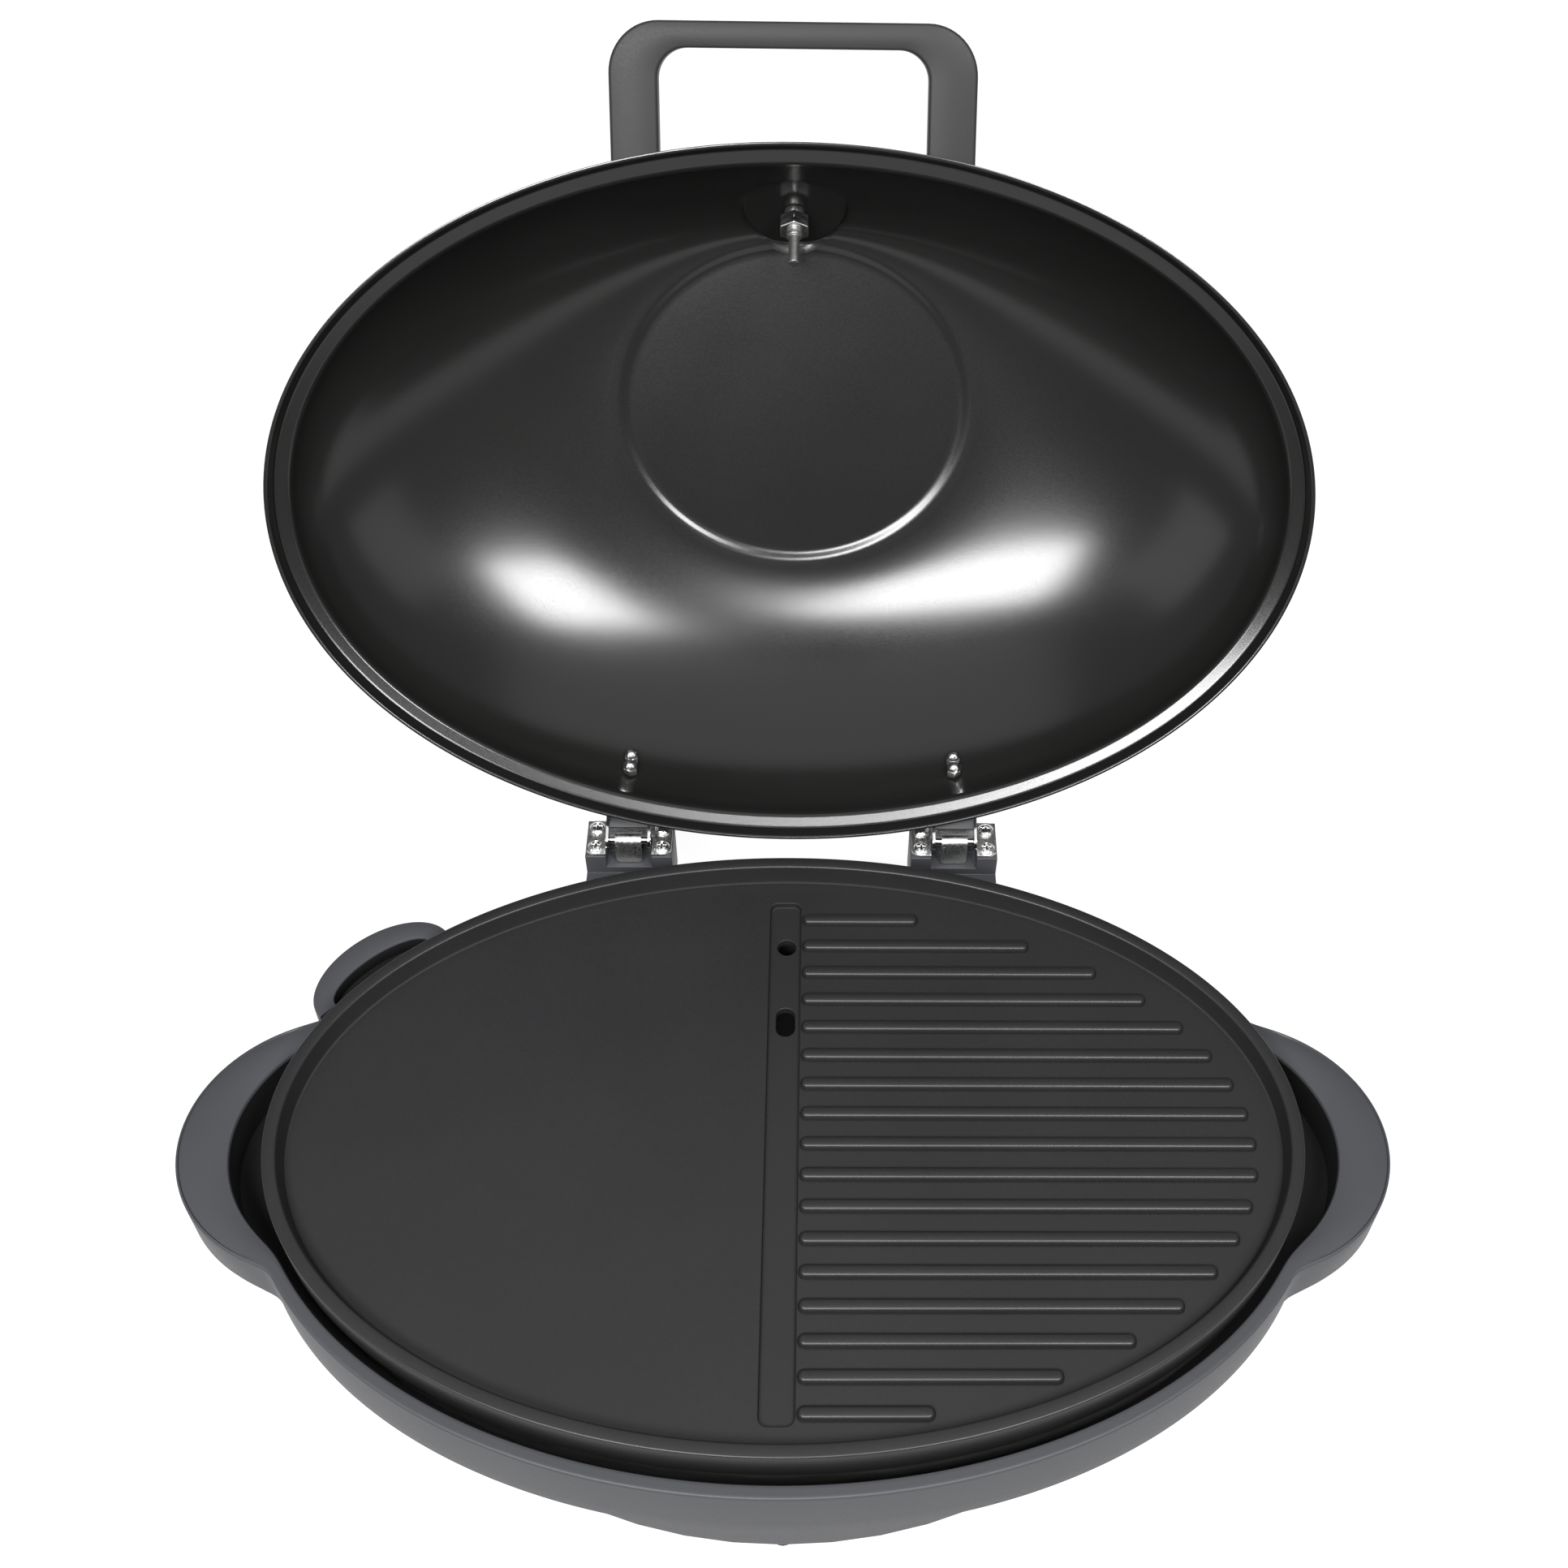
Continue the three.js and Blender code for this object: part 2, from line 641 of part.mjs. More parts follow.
function wallY(height, x, offset) {
  const levels = lidLevels(offset);
  const after = levels.findIndex((level) => level.z > height);
  const [low, high] = [levels[after - 1], levels[after]];
  const t = (height - low.z) / (high.z - low.z);
  const a = THREE.MathUtils.lerp(low.a, high.a, t);
  const b = THREE.MathUtils.lerp(low.b, high.b, t);
  return THREE.MathUtils.lerp(low.y, high.y, t) + b * Math.sqrt(1 - (x / a) ** 2);
}

function boltPlaces(side) {
  const y = wallY(boltHeight, hingeX, 0);
  return [-0.5, 0.5].map((k) => ({
    x: side * hingeX,
    y: y - k * boltSpacing * Math.cos(wallSlope * degree),
    z: boltHeight + k * boltSpacing * Math.sin(wallSlope * degree),
  }));
}

// +Z of the bolt frame points out of the lid wall.
const boltFrame = (body, place) => body.rotate([-wallSlope, 0, 0]).translate([place.x, place.y, place.z]);

const strapAngle = 39; // arm of the closed strap above horizontal
const strapInner = 6.8; // arm starts this far from the pin
const strapFace = 6; // outer face of the foot above the lid wall

const toAxis = (body, side) =>
  body.rotate([180 - strapAngle, 0, 0]).translate([side * hingeX, hingeY, hingeZ]);

// In the strap frame X runs across, +Y from the pin along the arm.
function hingeStrap(side) {
  const half = strapHalfWidth;
  const thick = 2;
  const flange = 1.4;
  const reach = 33;
  let body = box(-half, half, strapInner, reach, -1, thick - 1);
  const cheek = new THREE.Shape();
  const r = 4.4;
  cheek.moveTo(0, -r);
  cheek.absarc(0, 0, r, -90 * degree, -270 * degree, true);
  cheek.lineTo(reach - 7, 3);
  cheek.lineTo(reach - 7, -3);
  cheek.closePath();
  const plate = extrude(cheek, flange).rotate([90, 0, 90]);
  body = body.add(plate.translate([-half, 0, 0])).add(plate.translate([half - flange, 0, 0]));
  body = body.subtract(cylinder(pinRadius + pinGap, -20, 20, 0, 0, 16).rotate([0, 90, 0]));
  body = toAxis(body, side);
  const [low, high] = boltPlaces(side);
  const middle = { x: low.x, y: (low.y + high.y) / 2, z: (low.z + high.z) / 2 };
  const foot = slab(-half, half, -boltSpacing / 2 - 8, boltSpacing / 2 + 5.5, -9, strapFace, 3);
  body = body.add(boltFrame(foot, middle)).subtract(lidBody(-seatGap));
  for (const place of [low, high]) {
    body = body.subtract(boltFrame(cylinder(boltRadius + seatGap, -20, 20, 0, 0, 12), place));
  }
  return body;
}

const crossBar = (side) =>
  toAxis(
    cylinder(1.4, -strapHalfWidth + 1.7, strapHalfWidth - 1.7, 0, 0, 12)
      .rotate([0, 90, 0])
      .translate([0, 11, -2.8]),
    side,
  );

function strapBolt(place) {
  const head = cylinder(3.5, strapFace + seatGap, strapFace + seatGap + 2.6, 0, 0, 6);
  return boltFrame(head.add(cylinder(boltRadius, -8, strapFace + 1, 0, 0, 12)), place);
}

function capNut(place) {
  const seat = -2.4;
  const hex = cylinder(nutRadius, seat - 3.2, 6, 0, 0, 6);
  const dome = loft(
    [
      { a: 0, b: 0, z: seat - 7 },
      { a: 1.9, b: 1.9, z: seat - 6.5 },
      { a: 3.2, b: 3.2, z: seat - 4.9 },
      { a: 3.4, b: 3.4, z: seat - 3 },
      { a: 0, b: 0, z: seat - 3 },
    ],
    12,
  );
  const bore = cylinder(boltRadius + seatGap, -8 - seatGap, 10, 0, 0, 12);
  return boltFrame(hex.add(dome).subtract(bore), place).intersect(lidBody(lidWall + seatGap));
}

// ---- lid handle ----
function handleFrame() {
  const z = handleZ;
  const outer = roundedRect(
    -handleHalfWidth, handleHalfWidth, -handleReach, -handleReach + 130, handleCorner,
  );
  const x = handleHalfWidth - handleLeg;
  const inner = roundedRect(-x, x, -handleReach + handleBar, -handleReach + 150, handleCorner - 10);
  const bevel = 1.5;
  const ring = extrude(outer, handleThick).subtract(extrude(inner, handleThick + 2).translate([0, 0, -1]));
  const edge = extrude(outer, bevel).subtract(extrude(inner, bevel + 2).translate([0, 0, -1]));
  const body = ring.add(edge).translate([0, 0, z]);
  return body.intersect(box(-100, 100, -handleReach - 1, -120, z - 1, z + handleThick + 1));
}

const legX = handleHalfWidth - handleLeg / 2;

function lidHandle() {
  let body = handleFrame().subtract(lidBody(-seatGap));
  const top = handleZ + handleThick;
  for (const side of [-1, 1]) body = body.subtract(handleScrewHole(side, top - 8.3, top + 1));
  return body;
}

const bracketThick = 1.6;
const bracketReach = -handleReach + 52;
const handleScrewHole = (side, low, high) =>
  cylinder(boltRadius + seatGap, low, high, side * legX, bracketReach + 8, 12);

function handleBracket(side) {
  const low = handleZ + handleThick + seatGap;
  const top = low + 12;
  const [x0, x1] = [side * legX - 9, side * legX + 9];
  const shelf = box(x0, x1, bracketReach, -100, low, low + bracketThick);
  const foot = box(x0, x1, -220, -100, low, top).intersect(lidBody(-seatGap - bracketThick));
  return shelf.add(foot).subtract(lidBody(-seatGap)).subtract(handleScrewHole(side, low - 1, top));
}

function handleScrew(side) {
  const y = bracketReach + 8;
  const top = handleZ + handleThick;
  const seat = top + bracketThick + 2 * seatGap;
  return cylinder(3.8, seat, seat + 2.2, side * legX, y, 16).add(
    cylinder(boltRadius, top - 8, seat + 1, side * legX, y, 12),
  );
}

// ---- thermometer through the lid, in its own frame ----
function gaugeCase() {
  const r = gaugeRadius;
  const low = gaugeFloor + seatGap;
  return gaugeFrame(
    loft(
      [
        { a: 0, b: 0, z: low },
        { a: r, b: r, z: low },
        { a: r, b: r, z: low + caseDepth },
        { a: r - 2.5, b: r - 2.5, z: low + caseDepth + 1 },
        { a: r - 2.5, b: r - 2.5, z: low + 2 },
        { a: 0, b: 0, z: low + 2 },
      ],
      24,
    ).subtract(cylinder(probeRadius + seatGap, low - 1, low + 3, 0, 0, 16)),
  );
}

const gaugeDial = () =>
  gaugeFrame(
    cylinder(gaugeRadius - 2.8, gaugeFace, gaugeFace + 0.8, 0, 0, 24).subtract(
      cylinder(probeRadius + seatGap, gaugeFace - 1, gaugeFace + 2, 0, 0, 16),
    ),
  );

function gaugeNeedle() {
  const low = gaugeFace + 1.4;
  const hub = cylinder(2.6, low, low + 1.4, 0, 0, 16);
  const hand = slab(-0.9, 0.9, -5, gaugeRadius - 7, low, low + 0.8, 0.8);
  return gaugeFrame(hub.add(hand).subtract(cylinder(1.3, low - 1, low + 2, 0, 0, 12)));
}

const gaugeLens = () =>
  gaugeFrame(cylinder(gaugeRadius - 2.8, gaugeFace + 3.6, gaugeFace + 4.8, 0, 0, 24));

// Threaded stem: collar inside the lid wall, thread, then the thin probe.
function gaugeStem() {
  const under = gaugeFloor - lidWall;
  const low = under - collarHeight - 2 * seatGap;
  const thread = cylinder(threadRadius, low - nutHeight - 3.3, gaugeFloor, 0, 0, 16);
  const collar = cylinder(collarRadius, low + seatGap, under - seatGap, 0, 0, 16);
  const probe = cylinder(probeRadius, under - nutHeight - probeLength, gaugeFace + 0.8, 0, 0, 16);
  const spindle = cylinder(1, gaugeFace, gaugeFace + 2.6, 0, 0, 12);
  return gaugeFrame(thread.add(collar).add(probe).add(spindle));
}

function gaugeNut() {
  const top = gaugeFloor - lidWall - collarHeight - 2 * seatGap;
  const nut = cylinder(8.2, top - nutHeight, top, 0, 0, 6);
  return gaugeFrame(nut.subtract(cylinder(threadRadius + seatGap, -60, 60, 0, 0, 16)));
}

// ---- feet and screws underneath ----
const footPlaces = [
  [0, -1],
  [0, 1],
  [-1, 0],
  [1, 0],
].map(([x, y]) => [x * (tubHalfLength - footInset - 3), y * (tubHalfWidth - footInset)]);

function foot([x, y]) {
  const z = tubBottom - seatGap;
  return loft(
    [
      { a: 0, b: 0, z: 0 },
      { a: footRadius - 1, b: footRadius - 1, z: 0 },
      { a: footRadius, b: footRadius, z: 1.5 },
      { a: footRadius + 0.8, b: footRadius + 0.8, z },
      { a: 0, b: 0, z },
    ],
    20,
  ).translate([x, y, 0]);
}

const screwX = tubHalfLength - 47;
const screwY = tubHalfWidth - 80.5;
const screwPlaces = [-1, 1].flatMap((x) => [-1, 1].map((y) => [x * screwX, y * screwY]));

const caseScrewReach = housingBottom - tubBottom - 14; // above the tub's underside

function caseScrew([x, y]) {
  const seat = tubBottom - seatGap;
  const head = cylinder(4, seat - 2.2, seat, x, y, 16);
  const shank = cylinder(boltRadius, seat - 1, tubBottom + caseScrewReach, x, y, 12);
  const cross = box(-2.4, 2.4, -0.45, 0.45, seat - 3, seat - 1.2);
  return head.add(shank).subtract(cross.add(cross.rotate([0, 0, 90])).translate([x, y, 0]));
}

const screwPost = ([x, y]) => cylinder(5, tubBottom + 1, housingBottom, x, y, 16);
const screwBore = ([x, y]) =>
  cylinder(boltRadius + seatGap, tubBottom - 5, tubBottom + caseScrewReach + 1, x, y, 12);

const griddle = new THREE.Group();
const lidGroup = new THREE.Group();
let group = griddle;
const add = (name, body, material) => group.add(meshOf(name, body, material));
const sides = [
  ["left", -1],
  ["right", 1],
];

add("griddle_plate", griddlePlate(), castBlack);
add("upper_housing", upperHousing(), mouldedBlack);
add("lower_housing", lowerHousing(), mouldedBlack);
add("drip_tray", dripTray(), steel);
add("heat_pan", heatPan(), steel);
add("heating_element", heatingElement(), steel);
add("inlet_block", inletBlock(), ceramic);
add("inlet_pin_left", inletPin(-inletPinX, 2.5, 8), chrome);
add("inlet_pin_right", inletPin(inletPinX, 2.5, 8), chrome);
add("thermostat_sleeve", inletPin(0, 3, 4), steel);
[20, 235, 305].forEach((turn, i) => add("element_clip_" + (i + 1), elementClip(turn), steel));
for (const [name, side] of sides) {
  add("hinge_block_" + name, hingeBlock(side), mouldedBlack);
  add("hinge_bracket_" + name, hingeBracket(side), chrome);
  add("hinge_pin_" + name, hingePin(side), chrome);
  screwSpots.forEach((spot, i) => add("hinge_screw_" + name + "_" + (i + 1), hingeScrew(side, spot), chrome));
}
footPlaces.forEach((place, i) => add("foot_" + (i + 1), foot(place), rubber));
screwPlaces.forEach((place, i) => add("case_screw_" + (i + 1), caseScrew(place), steel));

group = lidGroup;
add("lid_shell", lidShell(), enamelBlack);
add("lid_handle", lidHandle(), satinGrey);
for (const [name, side] of sides) {
  add("handle_bracket_" + name, handleBracket(side), steel);
  add("handle_screw_" + name, handleScrew(side), chrome);
  add("hinge_strap_" + name, hingeStrap(side), mouldedBlack);
  add("strap_bar_" + name, crossBar(side), chrome);
  boltPlaces(side).forEach((place, i) => {
    add("strap_bolt_" + name + "_" + (i + 1), strapBolt(place), chrome);
    add("cap_nut_" + name + "_" + (i + 1), capNut(place), chrome);
  });
}
add("thermometer_case", gaugeCase(), chrome);
add("thermometer_dial", gaugeDial(), dialWhite);
add("thermometer_needle", gaugeNeedle(), needleRed);
add("thermometer_lens", gaugeLens(), clearGlass);
add("thermometer_stem", gaugeStem(), steel);
add("thermometer_nut", gaugeNut(), chrome);

// Open the lid about the hinge pins, then put the origin under the middle of everything.
const hinge = new THREE.Group();
hinge.position.set(0, hingeY, hingeZ);
hinge.rotation.x = -openAngle * degree;
for (const mesh of lidGroup.children.slice()) {
  mesh.geometry.translate(0, -hingeY, -hingeZ);
  hinge.add(mesh);
}
griddle.add(hinge);
griddle.updateMatrixWorld(true);
const bounds = new THREE.Box3().setFromObject(griddle, true);
const centre = bounds.getCenter(new THREE.Vector3());
griddle.position.set(-centre.x, -centre.y, -bounds.min.z);
griddle.updateMatrixWorld(true);

export default griddle;
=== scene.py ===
import json
import math

import bmesh
import bpy
import numpy as np
from mathutils import Matrix, Vector


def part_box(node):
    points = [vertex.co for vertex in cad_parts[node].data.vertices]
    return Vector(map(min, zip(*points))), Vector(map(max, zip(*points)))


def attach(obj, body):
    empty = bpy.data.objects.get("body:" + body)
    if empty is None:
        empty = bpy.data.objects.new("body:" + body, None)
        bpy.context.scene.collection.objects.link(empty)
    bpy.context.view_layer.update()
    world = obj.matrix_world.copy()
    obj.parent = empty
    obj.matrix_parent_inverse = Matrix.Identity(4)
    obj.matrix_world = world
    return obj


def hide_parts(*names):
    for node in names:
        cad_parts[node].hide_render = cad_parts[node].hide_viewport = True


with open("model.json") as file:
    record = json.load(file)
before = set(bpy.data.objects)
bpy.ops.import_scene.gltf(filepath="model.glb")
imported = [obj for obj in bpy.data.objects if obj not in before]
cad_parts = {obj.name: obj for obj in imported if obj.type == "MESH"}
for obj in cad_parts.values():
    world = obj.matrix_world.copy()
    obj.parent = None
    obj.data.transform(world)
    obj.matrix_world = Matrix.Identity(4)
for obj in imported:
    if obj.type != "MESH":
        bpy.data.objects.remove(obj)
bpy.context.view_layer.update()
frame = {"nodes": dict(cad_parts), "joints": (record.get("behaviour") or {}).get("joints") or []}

mm = 0.001

# sizes are in mm and heights are above the floor; places come from the frame
plateLow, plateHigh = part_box("griddle_plate")
plateY = (plateLow.y + plateHigh.y) / 2 / mm
hinge = next(j for j in frame["joints"] if j["name"] == "lid_hinge")
needleJoint = next(j for j in frame["joints"] if j["name"] == "needle_turn")
hingeY = hinge["pos_m"][1] / mm
hingeZ = hinge["pos_m"][2] / mm
openTurn = math.radians(hinge["range_deg"][1])


def lerp(a, b, t):
    return a + (b - a) * t


def smooth(low, high, x):
    t = np.clip((x - low) / (high - low), 0, 1)
    return t * t * (3 - 2 * t)


def atBase(points):
    # points about the plate's centre line, lifted off the floor
    p = np.asarray(points, float).reshape(-1, 3)
    return (p + (0, plateY, 0)) * mm


def atLid(points):
    # points of the closed lid, swung open about the pins
    p = np.asarray(points, float).reshape(-1, 3) - (0, hingeY - plateY, hingeZ)
    c, s = math.cos(-openTurn), math.sin(-openTurn)
    turned = np.stack([p[:, 0], p[:, 1] * c - p[:, 2] * s, p[:, 1] * s + p[:, 2] * c], 1)
    return (turned + (0, hingeY, hingeZ)) * mm


class Body:
    # collects rings of points into one mesh
    def __init__(self, place):
        self.place = place
        self.points = []
        self.faces = []

    def addPoints(self, points):
        start = sum(len(p) for p in self.points)
        placed = self.place(points)
        self.points.append(placed)
        return start

    def grid(self, rows, loop=False, capStart=False, capEnd=False, skip=None):
        rows = np.asarray(rows, float)
        count, wide = rows.shape[:2]
        start = self.addPoints(rows.reshape(-1, 3))
        for i in range(count if loop else count - 1):
            below, above = start + i * wide, start + ((i + 1) % count) * wide
            for j in range(wide):
                if skip is not None and skip[i % len(skip)][j]:
                    continue
                k = (j + 1) % wide
                self.faces.append([below + j, below + k, above + k, above + j])
        for wanted, row in ((capStart, 0), (capEnd, count - 1)):
            if wanted:
                centre, rim = self.addPoints([rows[row].mean(0)]), start + row * wide
                self.faces += [[centre, rim + j, rim + (j + 1) % wide] for j in range(wide)]
        return start

    def mesh(self, name, sharpest=32):
        mesh = bpy.data.meshes.new(name)
        mesh.from_pydata(np.concatenate(self.points).tolist(), [], self.faces)
        return finishedMesh(mesh, sharpest)


def finishedMesh(mesh, sharpest=32):
    work = bmesh.new()
    work.from_mesh(mesh)
    bmesh.ops.remove_doubles(work, verts=work.verts, dist=1e-6)
    bmesh.ops.recalc_face_normals(work, faces=work.faces)
    work.to_mesh(mesh)
    work.free()
    mesh.shade_smooth()
    mesh.set_sharp_from_angle(angle=math.radians(sharpest))
    return mesh


def piece(name, mesh, finish, body, nodes=()):
    thing = bpy.data.objects.new(name, mesh)
    bpy.context.scene.collection.objects.link(thing)
    mesh.materials.clear()
    mesh.materials.append(finish)
    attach(thing, body)
    if nodes:
        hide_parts(*nodes)
    return thing


def softened(name, node, finish, body, slot, width=0.4, steps=2, bend=28):
    # a CAD node with its corners rounded over
    work = bmesh.new()
    work.from_mesh(frame["nodes"][node].data)
    bmesh.ops.remove_doubles(work, verts=work.verts, dist=2e-6)
    bmesh.ops.dissolve_limit(work, angle_limit=math.radians(0.4), verts=work.verts, edges=work.edges)
    corners = [e for e in work.edges if len(e.link_faces) == 2 and e.calc_face_angle(0) > math.radians(bend)]
    bmesh.ops.bevel(
        work, geom=corners, offset=width * mm, offset_type="OFFSET", segments=steps,
        profile=0.5, affect="EDGES", clamp_overlap=True,
    )
    mesh = bpy.data.meshes.new(name)
    work.to_mesh(mesh)
    work.free()
    mesh.shade_smooth()
    mesh.set_sharp_from_angle(angle=math.radians(38))
    return piece(name, mesh, finish, body, [node])


class Value:
    # a node's output that works in sums
    def __init__(self, tree, socket):
        self.tree = tree
        self.socket = socket

    def worked(self, operation, a, b):
        return self.tree.maths(operation, a, b)

    def __add__(self, other):
        return self.worked("ADD", self, other)

    def __sub__(self, other):
        return self.worked("SUBTRACT", self, other)

    def __mul__(self, other):
        return self.worked("MULTIPLY", self, other)

    def __truediv__(self, other):
        return self.worked("DIVIDE", self, other)

    def __rsub__(self, other):
        return self.worked("SUBTRACT", other, self)

    def __rtruediv__(self, other):
        return self.worked("DIVIDE", other, self)

    def __lt__(self, other):
        return self.worked("LESS_THAN", self, other)

    def __gt__(self, other):
        return self.worked("GREATER_THAN", self, other)

    __radd__ = __add__
    __rmul__ = __mul__


class Tree:
    # makes and links the nodes of a material or of a geometry tree
    def __init__(self, nodeTree):
        self.nodeTree = nodeTree

    def node(self, kind, settings=None, inputs=None, output=0):
        made = self.nodeTree.nodes.new(kind)
        for key, value in (settings or {}).items():
            setattr(made, key, value)
        for key, value in (inputs or {}).items():
            if isinstance(value, Value):
                self.nodeTree.links.new(value.socket, made.inputs[key])
            else:
                made.inputs[key].default_value = value
        return Value(self, made.outputs[output]) if len(made.outputs) else None

    def maths(self, operation, a, b=None):
        inputs = {0: a} if b is None else {0: a, 1: b}
        return self.node("ShaderNodeMath", {"operation": operation}, inputs)


class Finish(Tree):
    def __init__(self, name, **fixed):
        self.material = bpy.data.materials.new(name)
        self.material.use_nodes = True
        super().__init__(self.material.node_tree)
        self.shader = self.nodeTree.nodes["Principled BSDF"]
        for socket, value in fixed.items():
            self.shader.inputs[socket.replace("_", " ")].default_value = value
        self.place = self.node("ShaderNodeTexCoord", output="Object")

    def drive(self, socket, value):
        self.nodeTree.links.new(value.socket, self.shader.inputs[socket])

    def noise(self, scale, detail=2.0, roughness=0.5, place=None):
        return self.node(
            "ShaderNodeTexNoise", {"noise_dimensions": "3D"},
            {"Vector": place or self.place, "Scale": scale, "Detail": detail, "Roughness": roughness},
        )

    def stretched(self, x, y, z):
        return self.node("ShaderNodeMapping", inputs={"Vector": self.place, "Scale": (x, y, z)})

    def ranged(self, value, start, end, low=0.3, high=0.7):
        # noise stays mostly between 0.3 and 0.7
        return self.node("ShaderNodeMapRange", inputs={0: value, 1: low, 2: high, 3: start, 4: end})

    def colours(self, factor, first, second):
        return self.node(
            "ShaderNodeMix", {"data_type": "RGBA"}, {0: factor, 6: (*first, 1), 7: (*second, 1)}, output=2,
        )

    def bumped(self, height, strength, depth):
        bump = self.node(
            "ShaderNodeBump", inputs={"Height": height, "Strength": strength, "Distance": depth * mm},
        )
        self.drive("Normal", bump)


def grained(name, look, **fixed):
    # a fine grain, with slow clouds in some, varies the colour, the gloss and the surface
    f = Finish(name, **fixed)
    place = f.stretched(*look["stretch"]) if "stretch" in look else None
    grain = f.noise(*look["grain"], place=place)
    cloud = f.noise(*look["cloud"]) if "cloud" in look else None

    def mixed(share):
        return grain if cloud is None or share == 1 else grain * share + cloud * (1 - share)

    f.drive("Base Color", f.colours(mixed(look.get("colourShare", 1)), look["dark"], look["light"]))
    f.drive("Roughness", f.ranged(mixed(look.get("glossShare", 1)), *look["gloss"]))
    if "bump" in look:
        f.bumped(grain, *look["bump"])
    return f.material


coating = grained("nonStickCoating", {
    "dark": (0.007, 0.007, 0.0074), "light": (0.013, 0.013, 0.0138), "gloss": (0.33, 0.44),
    "grain": (900, 3.0, 0.6), "cloud": (14, 3.0), "colourShare": 0.6, "glossShare": 0.5, "bump": (0.25, 0.05),
}, Specular_IOR_Level=0.3)
plastic = grained("mouldedPlastic", {
    "dark": (0.028, 0.029, 0.032), "light": (0.039, 0.04, 0.044), "gloss": (0.44, 0.54),
    "grain": (1500, 2.0, 0.6), "cloud": (20, 2.0), "colourShare": 0.5, "bump": (0.3, 0.04),
}, Specular_IOR_Level=0.28)
# painted shade: a near-black, dull plastic that stands in for the shade in the finger gaps and the guard
# pocket
shadePaintedPlastic = grained("rawMoulding", {
    "dark": (0.004, 0.004, 0.004), "light": (0.008, 0.008, 0.0078), "gloss": (0.7, 0.85),
    "grain": (900, 2.0, 0.6), "bump": (0.3, 0.05),
}, Specular_IOR_Level=0.12)
enamel = grained("lidEnamel", {
    "dark": (0.005, 0.005, 0.0048), "light": (0.009, 0.009, 0.0086), "gloss": (0.16, 0.24),
    "grain": (1300, 2.0, 0.7), "cloud": (9, 3.0), "colourShare": 0.5, "glossShare": 0.6, "bump": (0.3, 0.04),
}, Specular_IOR_Level=0.36)
handlePaint = grained("handlePaint", {
    "dark": (0.015, 0.015, 0.0154), "light": (0.021, 0.021, 0.0215), "gloss": (0.38, 0.46),
    "grain": (1100, 2.0, 0.6), "bump": (0.15, 0.03),
}, Specular_IOR_Level=0.13)
chrome = grained("chromePlate", {
    "dark": (0.62, 0.62, 0.61), "light": (0.8, 0.8, 0.79), "gloss": (0.08, 0.2), "grain": (160, 3.0),
}, Metallic=1.0)
zinc = grained("zincPlate", {
    "dark": (0.55, 0.55, 0.54), "light": (0.86, 0.86, 0.85), "gloss": (0.24, 0.42),
    "grain": (900, 3.0, 0.6), "bump": (0.3, 0.04),
}, Metallic=1.0)
steel = grained("dullSteel", {
    "dark": (0.32, 0.32, 0.31), "light": (0.48, 0.48, 0.47), "gloss": (0.3, 0.42),
    "grain": (60, 3.0, 0.6), "stretch": (1, 1, 30), "bump": (0.15, 0.03),
}, Metallic=1.0)
rubber = grained("footRubber", {
    "dark": (0.012, 0.012, 0.012), "light": (0.022, 0.022, 0.021), "gloss": (0.7, 0.85),
    "grain": (700, 3.0), "bump": (0.3, 0.05),
}, Specular_IOR_Level=0.3)
ceramic = grained("bareCeramic", {
    "dark": (0.6, 0.57, 0.5), "light": (0.74, 0.72, 0.66), "gloss": (0.6, 0.75),
    "grain": (900, 3.0), "bump": (0.3, 0.05),
})
needleRed = grained("needlePaint", {
    "dark": (0.42, 0.012, 0.01), "light": (0.55, 0.02, 0.015), "gloss": (0.35, 0.5), "grain": (600, 2.0),
})
lens = Finish("lensGlass", Transmission_Weight=1.0, IOR=1.46)
lens.drive("Roughness", lens.ranged(lens.noise(40), 0.0, 0.02))


def dialPrint():
    # long and short marks round an even scale; radii are parts of the dial's width
    look = {
        "sweep": 270, "long": (10, 1.3, 0.36), "short": (50, 0.6, 0.41), "outer": 0.45, "ring": (0.452, 0.46),
        "paper": (0.82, 0.82, 0.8), "ink": (0.02, 0.02, 0.02), "gloss": (0.4, 0.5),
    }
    f = Finish("dialPrint", Specular_IOR_Level=0.4)
    uv = f.node("ShaderNodeUVMap", {"uv_map": "face"})
    x, y = (f.node("ShaderNodeSeparateXYZ", inputs={0: uv}, output=k) - 0.5 for k in (0, 1))
    radius = f.maths("SQRT", x * x + y * y)
    turn = f.maths("ARCTAN2", x, y) * (180 / math.pi)

    def marks(count, width, inner):
        step = look["sweep"] / count
        phase = f.maths("PINGPONG", turn + step * count, step / 2)
        return (phase < width) * (radius > inner) * (radius < look["outer"])

    ink = marks(*look["long"]) + marks(*look["short"])
    ink = ink * (f.maths("ABSOLUTE", turn) < look["sweep"] / 2 + 1)
    ink = ink + (radius > look["ring"][0]) * (radius < look["ring"][1])
    f.drive("Base Color", f.colours(ink, look["paper"], look["ink"]))
    f.drive("Roughness", f.ranged(f.noise(300), *look["gloss"]))
    return f.material


print("finishes made")


def treeFor(name, inputs):
    # an empty geometry tree, and a way to read its inputs by name
    nodeTree = bpy.data.node_groups.new(name, "GeometryNodeTree")
    nodeTree.interface.new_socket("Geometry", in_out="INPUT", socket_type="NodeSocketGeometry")
    for label, kind in inputs.items():
        nodeTree.interface.new_socket(label, in_out="INPUT", socket_type="NodeSocket" + kind)
    nodeTree.interface.new_socket("Geometry", in_out="OUTPUT", socket_type="NodeSocketGeometry")
    tree = Tree(nodeTree)
    return tree, lambda label: tree.node("NodeGroupInput", output=label)


def finishTree(tree, copies, finish):
    painted = tree.node("GeometryNodeSetMaterial", inputs={"Geometry": copies, "Material": finish})
    tree.node("NodeGroupOutput", inputs={0: painted})
    return tree.nodeTree


